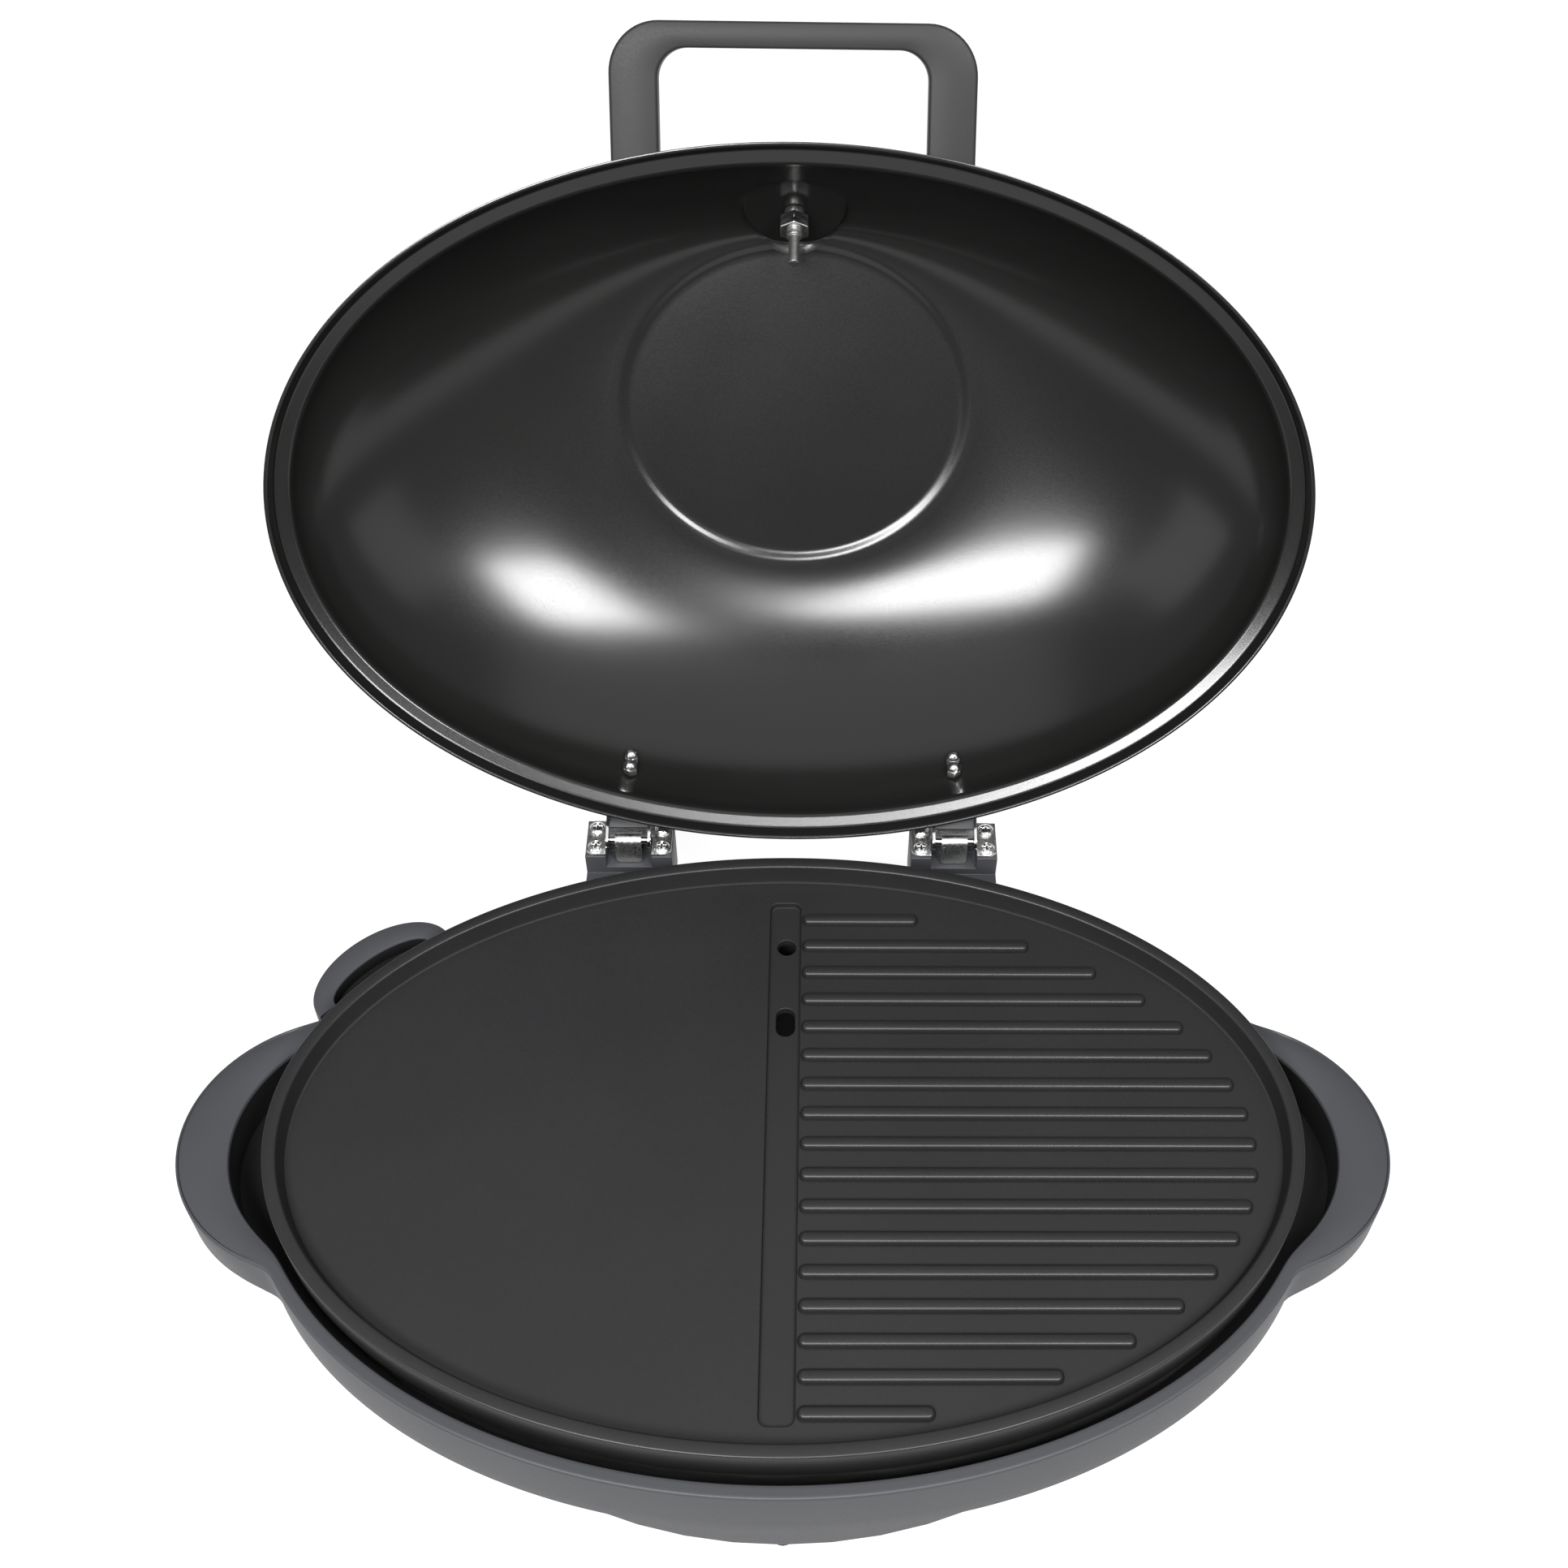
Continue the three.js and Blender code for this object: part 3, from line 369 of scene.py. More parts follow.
def plainResult(name, start, tree, values):
    # runs a tree on a start mesh and keeps the outcome as a plain mesh
    holder = bpy.data.objects.new(name + "Points", start)
    bpy.context.scene.collection.objects.link(holder)
    modifier = holder.modifiers.new("repeat", "NODES")
    modifier.node_group = tree
    for item in tree.interface.items_tree:
        if item.in_out == "INPUT" and item.name in values:
            modifier[item.identifier] = values[item.name]
    bpy.context.view_layer.update()
    mesh = bpy.data.meshes.new_from_object(holder.evaluated_get(bpy.context.evaluated_depsgraph_get()))
    holder.modifiers.clear()
    bpy.data.objects.remove(holder)
    mesh.name = name
    return mesh


def repeatTree():
    tree, given = treeFor("repeatPiece", {"Piece": "Object", "Size": "Float", "Finish": "Material"})
    source = tree.node("GeometryNodeObjectInfo", inputs={"Object": given("Piece")}, output="Geometry")
    copies = tree.node("GeometryNodeInstanceOnPoints", inputs={
        "Points": given("Geometry"), "Instance": source, "Scale": given("Size"),
    })
    real = tree.node("GeometryNodeRealizeInstances", inputs={0: copies})
    return finishTree(tree, real, given("Finish"))


copyTree = repeatTree()


def centreOf(node):
    low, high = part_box(node)
    return (low + high) / 2


def repeated(name, sample, nodes, finish, body, size=1.0):
    # sample is centred on the middle of a node's box
    source = bpy.data.objects.new(name + "Sample", sample)
    bpy.context.scene.collection.objects.link(source)
    start = bpy.data.meshes.new(name + "Places")
    start.from_pydata([centreOf(n) for n in nodes], [], [])
    mesh = plainResult(name, start, copyTree, {"Piece": source, "Size": size, "Finish": finish})
    bpy.data.objects.remove(source)
    mesh.shade_smooth()
    mesh.set_sharp_from_angle(angle=math.radians(35))
    return piece(name, mesh, finish, body, nodes)


def inPlace(points):
    return np.asarray(points, float).reshape(-1, 3) * mm


def panScrew(s):
    # pan head with a cross recess over a plain shank
    turns = np.linspace(0, 2 * math.pi, s["steps"], endpoint=False)
    body = Body(inPlace)
    low = -s["height"] / 2
    seat, rim, radius = s["seat"], s["seat"] + s["rim"], s["radius"]
    rows = [(0.05, low), (s["shank"] - 0.3, low), (s["shank"], low + 0.3), (s["shank"], seat)]
    rows += [(radius - 0.1, seat), (radius, seat + 0.15), (radius, rim)]
    for t in np.linspace(0.93, 0.02, 16):
        rows.append((radius * t, lerp(rim, s["height"] / 2, 1 - t ** s["dome"])))
    rings = []
    for radius, z in rows:
        x, y = radius * np.cos(turns), radius * np.sin(turns)
        height = np.full(s["steps"], z)
        if z > rim:
            arm = np.minimum(np.abs(x), np.abs(y))
            away = np.maximum(np.abs(x), np.abs(y))
            cut = 1 - smooth(s["slot"] * 0.8, s["slot"] * 1.25, arm)
            height = height - cut * (1 - smooth(s["reach"] - 0.4, s["reach"], away)) * s["depth"]
        rings.append(np.stack([x, y, height], 1))
    body.grid(rings, capStart=True, capEnd=True)
    return body.mesh("panScrew", 50)


print("repeat tree made")


plateSizes = {
    "length": (plateHigh.x - plateLow.x) / mm / 2, "width": (plateHigh.y - plateLow.y) / mm / 2,
    "top": plateHigh.z / mm, "bottom": plateLow.z / mm, "cook": 10.0, "under": 14.0,
    "channel": (-10.0, 5.5, -138.5, 133.5), "channelDepth": 3.0, "channelCorner": 4.0,
    "drainX": -1.5, "holeY": 108.0, "hole": 4.6, "slotY": 63.5, "slotLength": 16.0, "columns": 320,
}


def ovalRing(a, b, z, count, y=0.0):
    turns = np.linspace(0, 2 * math.pi, count, endpoint=False)
    return np.stack([a * np.cos(turns), y + b * np.sin(turns), np.full(count, float(z))], 1)


def roundedRing(x0, x1, y0, y1, radius, z, arc=8):
    points = []
    for cx, cy, start in ((x1, y1, 0), (x0, y1, 90), (x0, y0, 180), (x1, y0, 270)):
        ox = cx - radius if cx == x1 else cx + radius
        oy = cy - radius if cy == y1 else cy + radius
        for k in range(arc + 1):
            t = math.radians(start + 90 * k / arc)
            points.append((ox + radius * math.cos(t), oy + radius * math.sin(t), z))
    return np.array(points)


def plateMesh(s):
    count = s["columns"]
    a, b, top = s["length"], s["width"], s["top"]
    cook = top - s["cook"]
    under = top - s["under"]
    body = Body(atBase)
    # (inset, height) from the cooking surface out over the flange and down the skirt
    bottom = s["bottom"]
    rim = [(9.5, cook), (8.6, cook + 0.3), (8.1, cook + 1.2), (6.6, top - 1.0), (6.35, top - 0.45)]
    rim += [(5.9, top - 0.1), (5.4, top), (1.0, top), (0.5, top - 0.12), (0.15, top - 0.45), (0, top - 1.1)]
    rim += [(0.4, bottom + 0.5), (0.7, bottom), (4.7, bottom), (5, bottom + 0.3), (6.0, under)]
    rings = [ovalRing(a - d, b - d, z, count) for d, z in rim]
    first = body.grid(rings)
    last = first + (len(rings) - 1) * count

    x0, x1, y0, y1 = s["channel"]
    r = s["channelCorner"]
    deep = s["channelDepth"]
    well = [
        roundedRing(x0 - 0.5, x1 + 0.5, y0 - 0.5, y1 + 0.5, r + 0.5, cook),
        roundedRing(x0 - 0.15, x1 + 0.15, y0 - 0.15, y1 + 0.15, r + 0.15, cook - 0.15),
        roundedRing(x0, x1, y0, y1, r, cook - 0.5),
        roundedRing(x0, x1, y0, y1, r, cook - deep + 0.8),
        roundedRing(x0 + 0.25, x1 - 0.25, y0 + 0.25, y1 - 0.25, r - 0.25, cook - deep + 0.2),
        roundedRing(x0 + 0.9, x1 - 0.9, y0 + 0.9, y1 - 0.9, r - 0.9, cook - deep),
    ]
    wellCount = len(well[0])
    wellStart = body.grid(well)
    wellEnd = wellStart + (len(well) - 1) * wellCount
    trough = [
        roundedRing(x0 - 3, x1 + 3, y0 - 3, y1 + 3, 6, under),
        roundedRing(x0 - 3, x1 + 3, y0 - 3, y1 + 3, 6, under - deep),
    ]
    troughStart = body.grid(trough)
    troughEnd = troughStart + wellCount

    dx, h, sy, half = s["drainX"], s["hole"], s["slotY"], s["slotLength"] / 2
    floor = cook - deep
    drains = [
        lambda g, z: ovalRing(h + g, h + g, z, 32) + (dx, s["holeY"], 0),
        lambda g, z: roundedRing(dx - h - g, dx + h + g, sy - half - g, sy + half + g, h + g - 0.05, z),
    ]
    tops, lows = [], []
    for drain in drains:
        rows = [drain(0.5, floor), drain(0.15, floor - 0.15), drain(0, floor - 0.5), drain(0, under - deep)]
        start = body.grid(rows)
        wide = len(rows[0])
        tops.append((start, wide))
        lows.append((start + 3 * wide, wide))
    mesh = bpy.data.meshes.new("griddlePlate")
    mesh.from_pydata(np.concatenate(body.points).tolist(), [], body.faces)
    work = bmesh.new()
    work.from_mesh(mesh)
    work.verts.ensure_lookup_table()

    def flat(loops):
        edges = []
        for start, wide in loops:
            for j in range(wide):
                pair = (work.verts[start + j], work.verts[start + (j + 1) % wide])
                edges.append(work.edges.get(pair) or work.edges.new(pair))
        bmesh.ops.triangle_fill(work, use_beauty=True, edges=edges)

    flat([(first, count), (wellStart, wellCount)])
    flat([(wellEnd, wellCount)] + tops)
    flat([(last, count), (troughStart, wellCount)])
    flat([(troughEnd, wellCount)] + lows)
    work.to_mesh(mesh)
    work.free()
    finishedMesh(mesh, 40)
    for face in mesh.polygons:
        if len(face.vertices) == 3:
            face.use_smooth = False
    return mesh


ribSizes = {
    "count": 17, "pitch": 16.0, "firstY": 122.5, "width": 7.0, "height": 3.2, "start": 6.2,
    "fieldLength": 219.3, "fieldWidth": 134.0, "sampleLength": 100.0,
}


def ribSample(s):
    # one rib lying along X with round ends, centred on Y = 0
    body = Body(inPlace)
    r, high = s["width"] / 2, s["height"]
    section = [(0, -0.3), (0, 0.5), (0.22, 1.5), (0.75, high - 0.75), (1.25, high - 0.22), (2.0, high)]
    rows = [roundedRing(d, s["sampleLength"] - d, -r + d, r - d, r - 0.2 - d, z, 7) for d, z in section]
    body.grid(rows, capStart=True, capEnd=True)
    return body.mesh("ribSample", 60)


def ribTree():
    # the far end of each rib is drawn out to the oval edge of the field
    tree, given = treeFor("ribField", {
        "Rib": "Object", "Finish": "Material", "Pitch": "Float", "First Y": "Float", "Centre Y": "Float",
        "Field Length": "Float", "Field Width": "Float", "Sample Middle": "Float", "Sample End": "Float",
    })
    source = tree.node("GeometryNodeObjectInfo", inputs={"Object": given("Rib")}, output="Geometry")
    copies = tree.node("GeometryNodeInstanceOnPoints", inputs={
        "Points": given("Geometry"), "Instance": source,
    })
    real = tree.node("GeometryNodeRealizeInstances", inputs={0: copies})
    place = tree.node("GeometryNodeInputPosition")
    x, y = (tree.node("ShaderNodeSeparateXYZ", inputs={0: place}, output=k) for k in (0, 1))
    rank = tree.maths("ROUND", (given("First Y") - y) / given("Pitch"))
    middle = given("First Y") - rank * given("Pitch")
    across = (middle - given("Centre Y")) / given("Field Width")
    end = given("Field Length") * tree.maths("SQRT", 1 - across * across)
    shift = (x > given("Sample Middle")) * (end - given("Sample End"))
    offset = tree.node("ShaderNodeCombineXYZ", inputs={0: shift})
    moved = tree.node("GeometryNodeSetPosition", inputs={"Geometry": real, "Offset": offset})
    return finishTree(tree, moved, given("Finish"))


def makeRibs(s):
    sample = bpy.data.objects.new("ribSample", ribSample(s))
    bpy.context.scene.collection.objects.link(sample)
    cook = plateSizes["top"] - plateSizes["cook"]
    places = [(s["start"], s["firstY"] - k * s["pitch"], cook) for k in range(s["count"])]
    start = bpy.data.meshes.new("ribPlaces")
    start.from_pydata(atBase(places).tolist(), [], [])
    middleY = s["firstY"] - (s["count"] - 1) * s["pitch"] / 2
    mesh = plainResult("plateRibs", start, ribTree(), {
        "Rib": sample, "Finish": coating, "Pitch": s["pitch"] * mm,
        "First Y": (s["firstY"] + plateY) * mm, "Centre Y": (middleY + plateY) * mm,
        "Field Length": s["fieldLength"] * mm, "Field Width": s["fieldWidth"] * mm,
        "Sample Middle": (s["start"] + s["sampleLength"] / 2) * mm,
        "Sample End": (s["start"] + s["sampleLength"]) * mm,
    })
    bpy.data.objects.remove(sample)
    mesh.shade_smooth()
    mesh.set_sharp_from_angle(angle=math.radians(60))
    piece("plateRibs", mesh, coating, "base")


piece("griddlePlate", plateMesh(plateSizes), coating, "base", ["griddle_plate"])
makeRibs(ribSizes)
print("plate made")


housingSizes = {
    "oval": (250.0, 166.0), "opening": (243.5, 159.5), "deck": 86.0, "bottom": 48.0, "wall": 3.0,
    "grip": (210.0, 75.0, 68.0, 2.0), "gripWidth": 24.5, "gripFloor": 62.0, "ledge": 10.0, "crown": 0.96,
    "blend": 2.6, "columns": 720, "shownLip": 4.2,
}


def reach(angle, a, b, x=0.0, y=0.0):
    # how far a ray from the middle goes to the far side of an oval, or 0 if it misses
    dx, dy = np.cos(angle), np.sin(angle)
    qa = (dx / a) ** 2 + (dy / b) ** 2
    qb = -2 * (x * dx / a ** 2 + y * dy / b ** 2)
    qc = (x / a) ** 2 + (y / b) ** 2 - 1
    under = qb ** 2 - 4 * qa * qc
    far = (-qb + np.sqrt(np.maximum(under, 0))) / (2 * qa)
    return np.where((under > 0) & (far > 0), far, 0)


def joined(lengths, blend):
    # the longest of several reaches, with its corners rounded off
    stack = np.stack(lengths)
    peak = stack.max(0)
    return peak + blend * np.log(np.exp((stack - peak) / blend).sum(0)) - blend * 0.05


def insetLoop(radius, angle, inset):
    p = np.stack([radius * np.cos(angle), radius * np.sin(angle)], 1)
    along = np.roll(p, -1, 0) - np.roll(p, 1, 0)
    normal = np.stack([along[:, 1], -along[:, 0]], 1)
    normal /= np.linalg.norm(normal, axis=1)[:, None]
    return p - normal * np.reshape(inset, (-1, 1))


def housingMesh(s):
    angle = np.linspace(0, 2 * math.pi, s["columns"], endpoint=False)
    a, b = s["oval"]
    shift, ga, gb, gy = s["grip"]
    wall = reach(angle, a, b)
    outer = joined([wall] + [reach(angle, ga, gb, side * shift, gy) for side in (-1, 1)], s["blend"])
    inner = joined(
        [reach(angle, *s["opening"])]
        + [reach(angle, ga, gb, side * (shift - s["gripWidth"]), gy) for side in (-1, 1)],
        s["blend"],
    )
    onGrip = smooth(2, 22, outer - wall)
    deck, low, w = s["deck"], s["bottom"], s["wall"]
    gripLow = s["gripFloor"] - w
    ledge = reach(angle, s["opening"][0] - s["ledge"], s["opening"][1] - s["ledge"])

    def ring(radius, inset, z):
        flat = insetLoop(radius, angle, inset)
        return np.column_stack([flat, np.broadcast_to(z, len(angle))])

    def across(t, z):
        # part of the way over the deck from the outer edge to the opening
        near, far = insetLoop(outer, angle, 1.6), insetLoop(inner, angle, -1.4)
        return np.column_stack([near + (far - near) * t, np.broadcast_to(z, len(angle))])

    lobeWall = np.maximum(outer, wall)
    rows = [ring(wall, w, low), ring(wall, 0.8, low), ring(wall, 0.2, low + 0.3), ring(wall, 0, low + 1.0)]
    rows += [ring(wall, 0.05, gripLow - 0.6), ring(lerp(wall, lobeWall, 0.1), 0.05, gripLow)]
    rows += [ring(lobeWall, 2.0 * onGrip, gripLow), ring(lobeWall, 0.6 * onGrip, gripLow + 0.7)]
    rounding = [(0, deck - 1.6), (0.12, deck - 0.7), (0.5, deck - 0.22), (1.1, deck - 0.02)]
    for inset, z in [(0, gripLow + 2.2)] + rounding:
        rows.append(ring(lobeWall, inset, z))
    for t in (0.0, 0.15, 0.32, 0.5, 0.68, 0.85, 1.0):
        rows.append(across(t, deck - s["crown"] * onGrip * (2 * t - 1) ** 2))
    edge, floor = deck - s["crown"] * onGrip, s["gripFloor"]
    rows += [ring(inner, -0.6, edge - 0.2), ring(inner, -0.12, edge - 0.8), ring(inner, 0, edge - 1.8)]
    rows += [ring(inner, 0, floor + 1.5), ring(inner, 0.5, floor + 0.4), ring(inner, 1.6, floor)]
    rows += [ring(ledge, -0.4, floor), ring(ledge, 0, floor - 0.4), ring(ledge, 0, gripLow)]
    rows += [ring(wall, w + 1.5, gripLow), ring(wall, w, gripLow - 1.5)]
    body = Body(atBase)
    body.grid(rows, loop=True)
    return body


guardSizes = {
    "turn": 133.0, "at": (-203.8, 96.5), "outer": (38.0, 24.5), "slot": (28.0, 11.5), "top": 86.0,
    "band": 76.5, "mouth": 57.0, "slotFloor": 77.0, "post": 24.0, "steps": 48, "bottom": 48.0, "wall": 3.2,
}


def guardPlace(points, s):
    p = np.asarray(points, float).reshape(-1, 3)
    t = math.radians(s["turn"] - 90)
    x = p[:, 0] * math.cos(t) - p[:, 1] * math.sin(t) + s["at"][0]
    y = p[:, 0] * math.sin(t) + p[:, 1] * math.cos(t) + s["at"][1]
    return np.stack([x, y, p[:, 2]], 1)


def guardArc(s, outerOval, innerOval, low, high, start, end, soft):
    # a rounded bar with an upright section, swept round part of an oval
    rows = []
    for t in np.linspace(start, end, s["steps"]):
        c, n = math.cos(t), math.sin(t)
        o = np.array([outerOval[0] * c, outerOval[1] * n])
        i = np.array([innerOval[0] * c, innerOval[1] * n])
        way = (o - i) / np.linalg.norm(o - i)
        section = []
        for base, sign, z0, z1 in ((o, -1, low, high), (i, 1, high, low)):
            inward = way * sign * soft
            rise = soft if z1 > z0 else -soft
            section += [(base + inward, z0), (base + inward * 0.3, z0 + rise * 0.3), (base, z0 + rise)]
            section += [(base, z1 - rise), (base + inward * 0.3, z1 - rise * 0.3), (base + inward, z1)]
        rows.append([(p[0], p[1], z) for p, z in section])
    return np.array(rows)


def addGuard(body, s):
    wallOval = (s["outer"][0] - s["wall"], s["outer"][1] - s["wall"])
    post = math.acos(s["post"] / s["outer"][0])
    bars = [
        (s["outer"], s["slot"], s["band"], s["top"], -0.05, math.pi + 0.05, 1.0),
        (s["outer"], wallOval, s["bottom"], s["mouth"], -0.05, math.pi + 0.05, 0.8),
        (s["outer"], wallOval, s["bottom"] + 1, s["top"] - 1.5, -0.05, post, 0.5),
        (s["outer"], wallOval, s["bottom"] + 1, s["top"] - 1.5, math.pi - post, math.pi + 0.05, 0.5),
    ]
    for bar in bars:
        rows = guardArc(s, *bar)
        shaped = guardPlace(rows.reshape(-1, 3), s).reshape(rows.shape)
        body.grid(shaped, capStart=True, capEnd=True)
    # a floor and a roof close the guard's pocket; both are later painted in shade with the dark plastic
    bottom, slotFloor, wall = s["bottom"], s["slotFloor"], s["wall"]
    shelfOval = (s["outer"][0] - 1.5, s["outer"][1] - 1.5)
    for levels in ((bottom + 0.2, bottom + wall), (slotFloor - wall, slotFloor)):
        shelf = [guardPlace(ovalRing(*shelfOval, z, 64), s) for z in levels]
        body.grid(shelf, capStart=True, capEnd=True)


housing = housingMesh(housingSizes)
addGuard(housing, guardSizes)


def darkGaps(thing, s, g):
    # faces down in the finger gaps and in the guard get painted shade: a near-black, dull plastic stands in
    # for the shade that falls there
    thing.data.materials.append(shadePaintedPlastic)
    shift, ga, gb, gy = s["grip"]
    turn = math.radians(g["turn"] - 90)
    ovals = [  # middle, half length, half width, turn
        ((0, 0), s["opening"][0] + 2, s["opening"][1] + 2, 0),
        ((s["gripWidth"] - shift, gy), ga + 2, gb + 2, 0), ((shift - s["gripWidth"], gy), ga + 2, gb + 2, 0),
        (g["at"], g["outer"][0] - 1, g["outer"][1] - 1, turn),
    ]
    for face in thing.data.polygons:
        x, y, z = face.center / mm
        inside = False
        for (cx, cy), a, b, t in ovals:
            along = (x - cx) * math.cos(t) + (y - plateY - cy) * math.sin(t)
            across = (y - plateY - cy) * math.cos(t) - (x - cx) * math.sin(t)
            inside = inside or (along / a) ** 2 + (across / b) ** 2 < 1
        # material index 1 is the painted shade
        face.material_index = 1 if inside and z < s["deck"] - s["shownLip"] else 0


upperMesh = housing.mesh("upperHousing", 34)
upper = piece("upperHousing", upperMesh, plastic, "base", ["upper_housing"])
darkGaps(upper, housingSizes, guardSizes)
print("housing made")


lidSizes = {
    "oval": (260.0, 174.7), "wall": 1.3, "hem": 86.4, "skirt": 9.0, "lean": 2.0, "ledge": 8.0,
    "shoulder": 5.0, "rise": 96.0, "spread": 1.7, "swell": 1.5,
    "crown": (95.0, 86.0), "crownShift": -37.5, "columns": 256, "rings": 44, "bead": 1.0, "step": 1.6,
}
gaugeSizes = {
    "radius": 24.0, "floor": -4.0, "blend": 2.0, "edge": 29.5, "columns": 96, "lensHeight": 4.8,
}


def domeLevel(s, w, offset):
    # half length, half width, centre and height, w of the way from the shoulder to the crown
    inset = s["lean"] + s["ledge"] + offset
    shoulder = s["hem"] + s["skirt"] + s["shoulder"] - offset * 0.5
    top = s["hem"] + s["rise"] - offset
    h = (1 - (1 - w) ** s["spread"]) ** (1 / s["swell"])
    a = lerp(s["oval"][0] - inset, s["crown"][0], w)
    b = lerp(s["oval"][1] - inset, s["crown"][1], w)
    return a, b, s["crownShift"] * w, lerp(shoulder, top, h)


def domeWay(s, z, offset):
    # the w of domeLevel at a height
    shoulder, top = domeLevel(s, 0.0, offset)[3], domeLevel(s, 1.0, offset)[3]
    h = np.clip((z - shoulder) / (top - shoulder), 0, 1)
    return 1 - (1 - h ** s["swell"]) ** (1 / s["spread"])


def lidRows(s, offset, count):
    # rings from the hem up to the crown; offset 0 is the outer face
    a0, b0 = s["oval"]
    hem, skirt, foot = s["hem"], s["hem"] + s["skirt"], s["lean"] + s["ledge"]
    edge = [(0.0, hem + 0.9), (0.3, hem + 2.4), (1.2, hem + 5), (1.9, skirt - 1.6)]
    if offset == 0:
        edge += [(2.6, skirt - 0.5), (3.8, skirt), (foot - 2.2, skirt + 0.5)]
        edge += [(foot - 0.9, skirt + 1.3), (foot - 0.2, skirt + 3.0)]
    else:
        edge += [(2.2, skirt - 1.9), (3.2, skirt - 1.2), (foot - 2.4, skirt - 0.7)]
        edge += [(foot - 1.2, skirt + 0.1), (foot - 0.3, skirt + 1.8)]
    rings = [ovalRing(a0 - d - offset, b0 - d - offset, z, count) for d, z in edge]
    for t in np.linspace(0, 1, s["rings"]):
        a, b, y, z = domeLevel(s, t ** 1.35, offset)
        rings.append(ovalRing(a, b, z, count, y))
    top = s["hem"] + s["rise"] - offset
    steps = [(0.985, 0.1), (0.97, 0.35), (0.955, 0.68), (0.94, 0.92), (0.925, 1)]
    for part, lift in steps + [(0.9, 1), (0.7, 1), (0.4, 1), (0.2, 1)]:
        a, b = s["crown"][0] * part, s["crown"][1] * part
        rings.append(ovalRing(a, b, top + lift * s["step"], count, s["crownShift"]))
    return np.array(rings)


needleAt = np.array(needleJoint["pos_m"]) / mm
needleAxis = -np.array(needleJoint["axis"], float)


def closedFrom(points):
    # an opened place of the lid back to the closed lid
    p = np.asarray(points, float).reshape(-1, 3) - (0, hingeY, hingeZ)
    c, s = math.cos(openTurn), math.sin(openTurn)
    turned = np.stack([p[:, 0], p[:, 1] * c - p[:, 2] * s, p[:, 1] * s + p[:, 2] * c], 1)
    return turned + (0, hingeY - plateY, hingeZ)


gaugeMiddle = closedFrom(needleAt - needleAxis * gaugeSizes["lensHeight"])[0]
gaugeOut = closedFrom(needleAt + needleAxis)[0] - closedFrom(needleAt)[0]
gaugeUp = np.cross(gaugeOut, (1, 0, 0))


def gaugePoint(radius, angle, height):
    x = radius * np.cos(angle)
    y = radius * np.sin(angle)
    return gaugeMiddle + np.outer(x, (1, 0, 0)) + np.outer(y, gaugeUp) + np.outer(height, gaugeOut)


def outsideDome(s, points, offset):
    # above 0 where a point is outside the dome
    a, b, y, _ = domeLevel(s, domeWay(s, points[:, 2], offset), offset)
    inside = (points[:, 0] / a) ** 2 + ((points[:, 1] - y) / b) ** 2 - 1
    return np.where(points[:, 2] > domeLevel(s, 1.0, offset)[3], 1.0, inside)


def domeHeight(s, radius, angle, offset):
    low, high = np.full(len(angle), -32.0), np.full(len(angle), 22.0)
    for _ in range(30):
        middle = (low + high) / 2
        out = outsideDome(s, gaugePoint(np.full(len(angle), float(radius)), angle, middle), offset) > 0
        high = np.where(out, middle, high)
        low = np.where(out, low, middle)
    return (low + high) / 2


def addRecess(body, s, g):
    # a round seat for the thermometer, let into the dome and closed on both faces
    angle = np.linspace(0, 2 * math.pi, g["columns"], endpoint=False)
    sheets, blend = [], g["blend"]
    for offset, clear, proud in ((0, 0.3, 0.06), (s["wall"], 1.7, -0.06)):
        rows, floor, rim = [], g["floor"] - offset, g["radius"] + clear
        radii = [4.2, 10, 17, rim - 1.6, rim - 0.6, rim, rim + blend * 0.35, rim + blend * 0.7, rim + blend]
        for radius in radii + [g["edge"]]:
            surface = domeHeight(s, radius, angle, offset) + proud
            t = smooth(rim - 0.6, rim + blend, radius)
            rows.append(gaugePoint(np.full(len(angle), float(radius)), angle, lerp(floor, surface, t)))
        sheets.append(rows)
    body.grid(sheets[0] + sheets[1][::-1], loop=True)


def lidMesh(s, g):
    count = s["columns"]
    outer = lidRows(s, 0.0, count)
    inner = lidRows(s, s["wall"], count)
    a0, b0 = s["oval"]
    bead = []
    for t in np.linspace(-0.35, 1.35, 9):
        turn = math.pi * t
        d = s["wall"] / 2 - (s["wall"] / 2 + s["bead"] * 0.5) * math.cos(turn)
        bead.append(ovalRing(a0 - max(d, 0), b0 - max(d, 0), s["hem"] + 0.9 - 0.9 * math.sin(turn), count))
    body = Body(atLid)
    centres = (outer[:-1] + outer[1:]) / 2
    centres = (centres + np.roll(centres, -1, 1)) / 2 - gaugeMiddle
    along = centres @ gaugeOut
    away = np.linalg.norm(centres - along[..., None] * gaugeOut, axis=2)
    skip = (away < g["edge"] - 3) & (np.abs(along) < 40)
    rows = np.concatenate([outer[::-1], np.array(bead), inner])
    full = np.zeros((len(rows), count), bool)
    top = len(outer)
    for i in range(top - 1):
        full[top - 2 - i] = skip[i]
        full[top + len(bead) + i] = skip[i]
    start = body.grid(rows, skip=full)
    for row, sense in ((0, 1), (len(rows) - 1, -1)):
        centre, rim = body.addPoints([rows[row].mean(0)]), start + row * count
        body.faces += [[centre, rim + j, rim + (j + 1) % count][::sense] for j in range(count)]
    bridge(body, start, skip, count, top, len(bead))
    addRecess(body, s, g)
    return body.mesh("lidShell", 40)


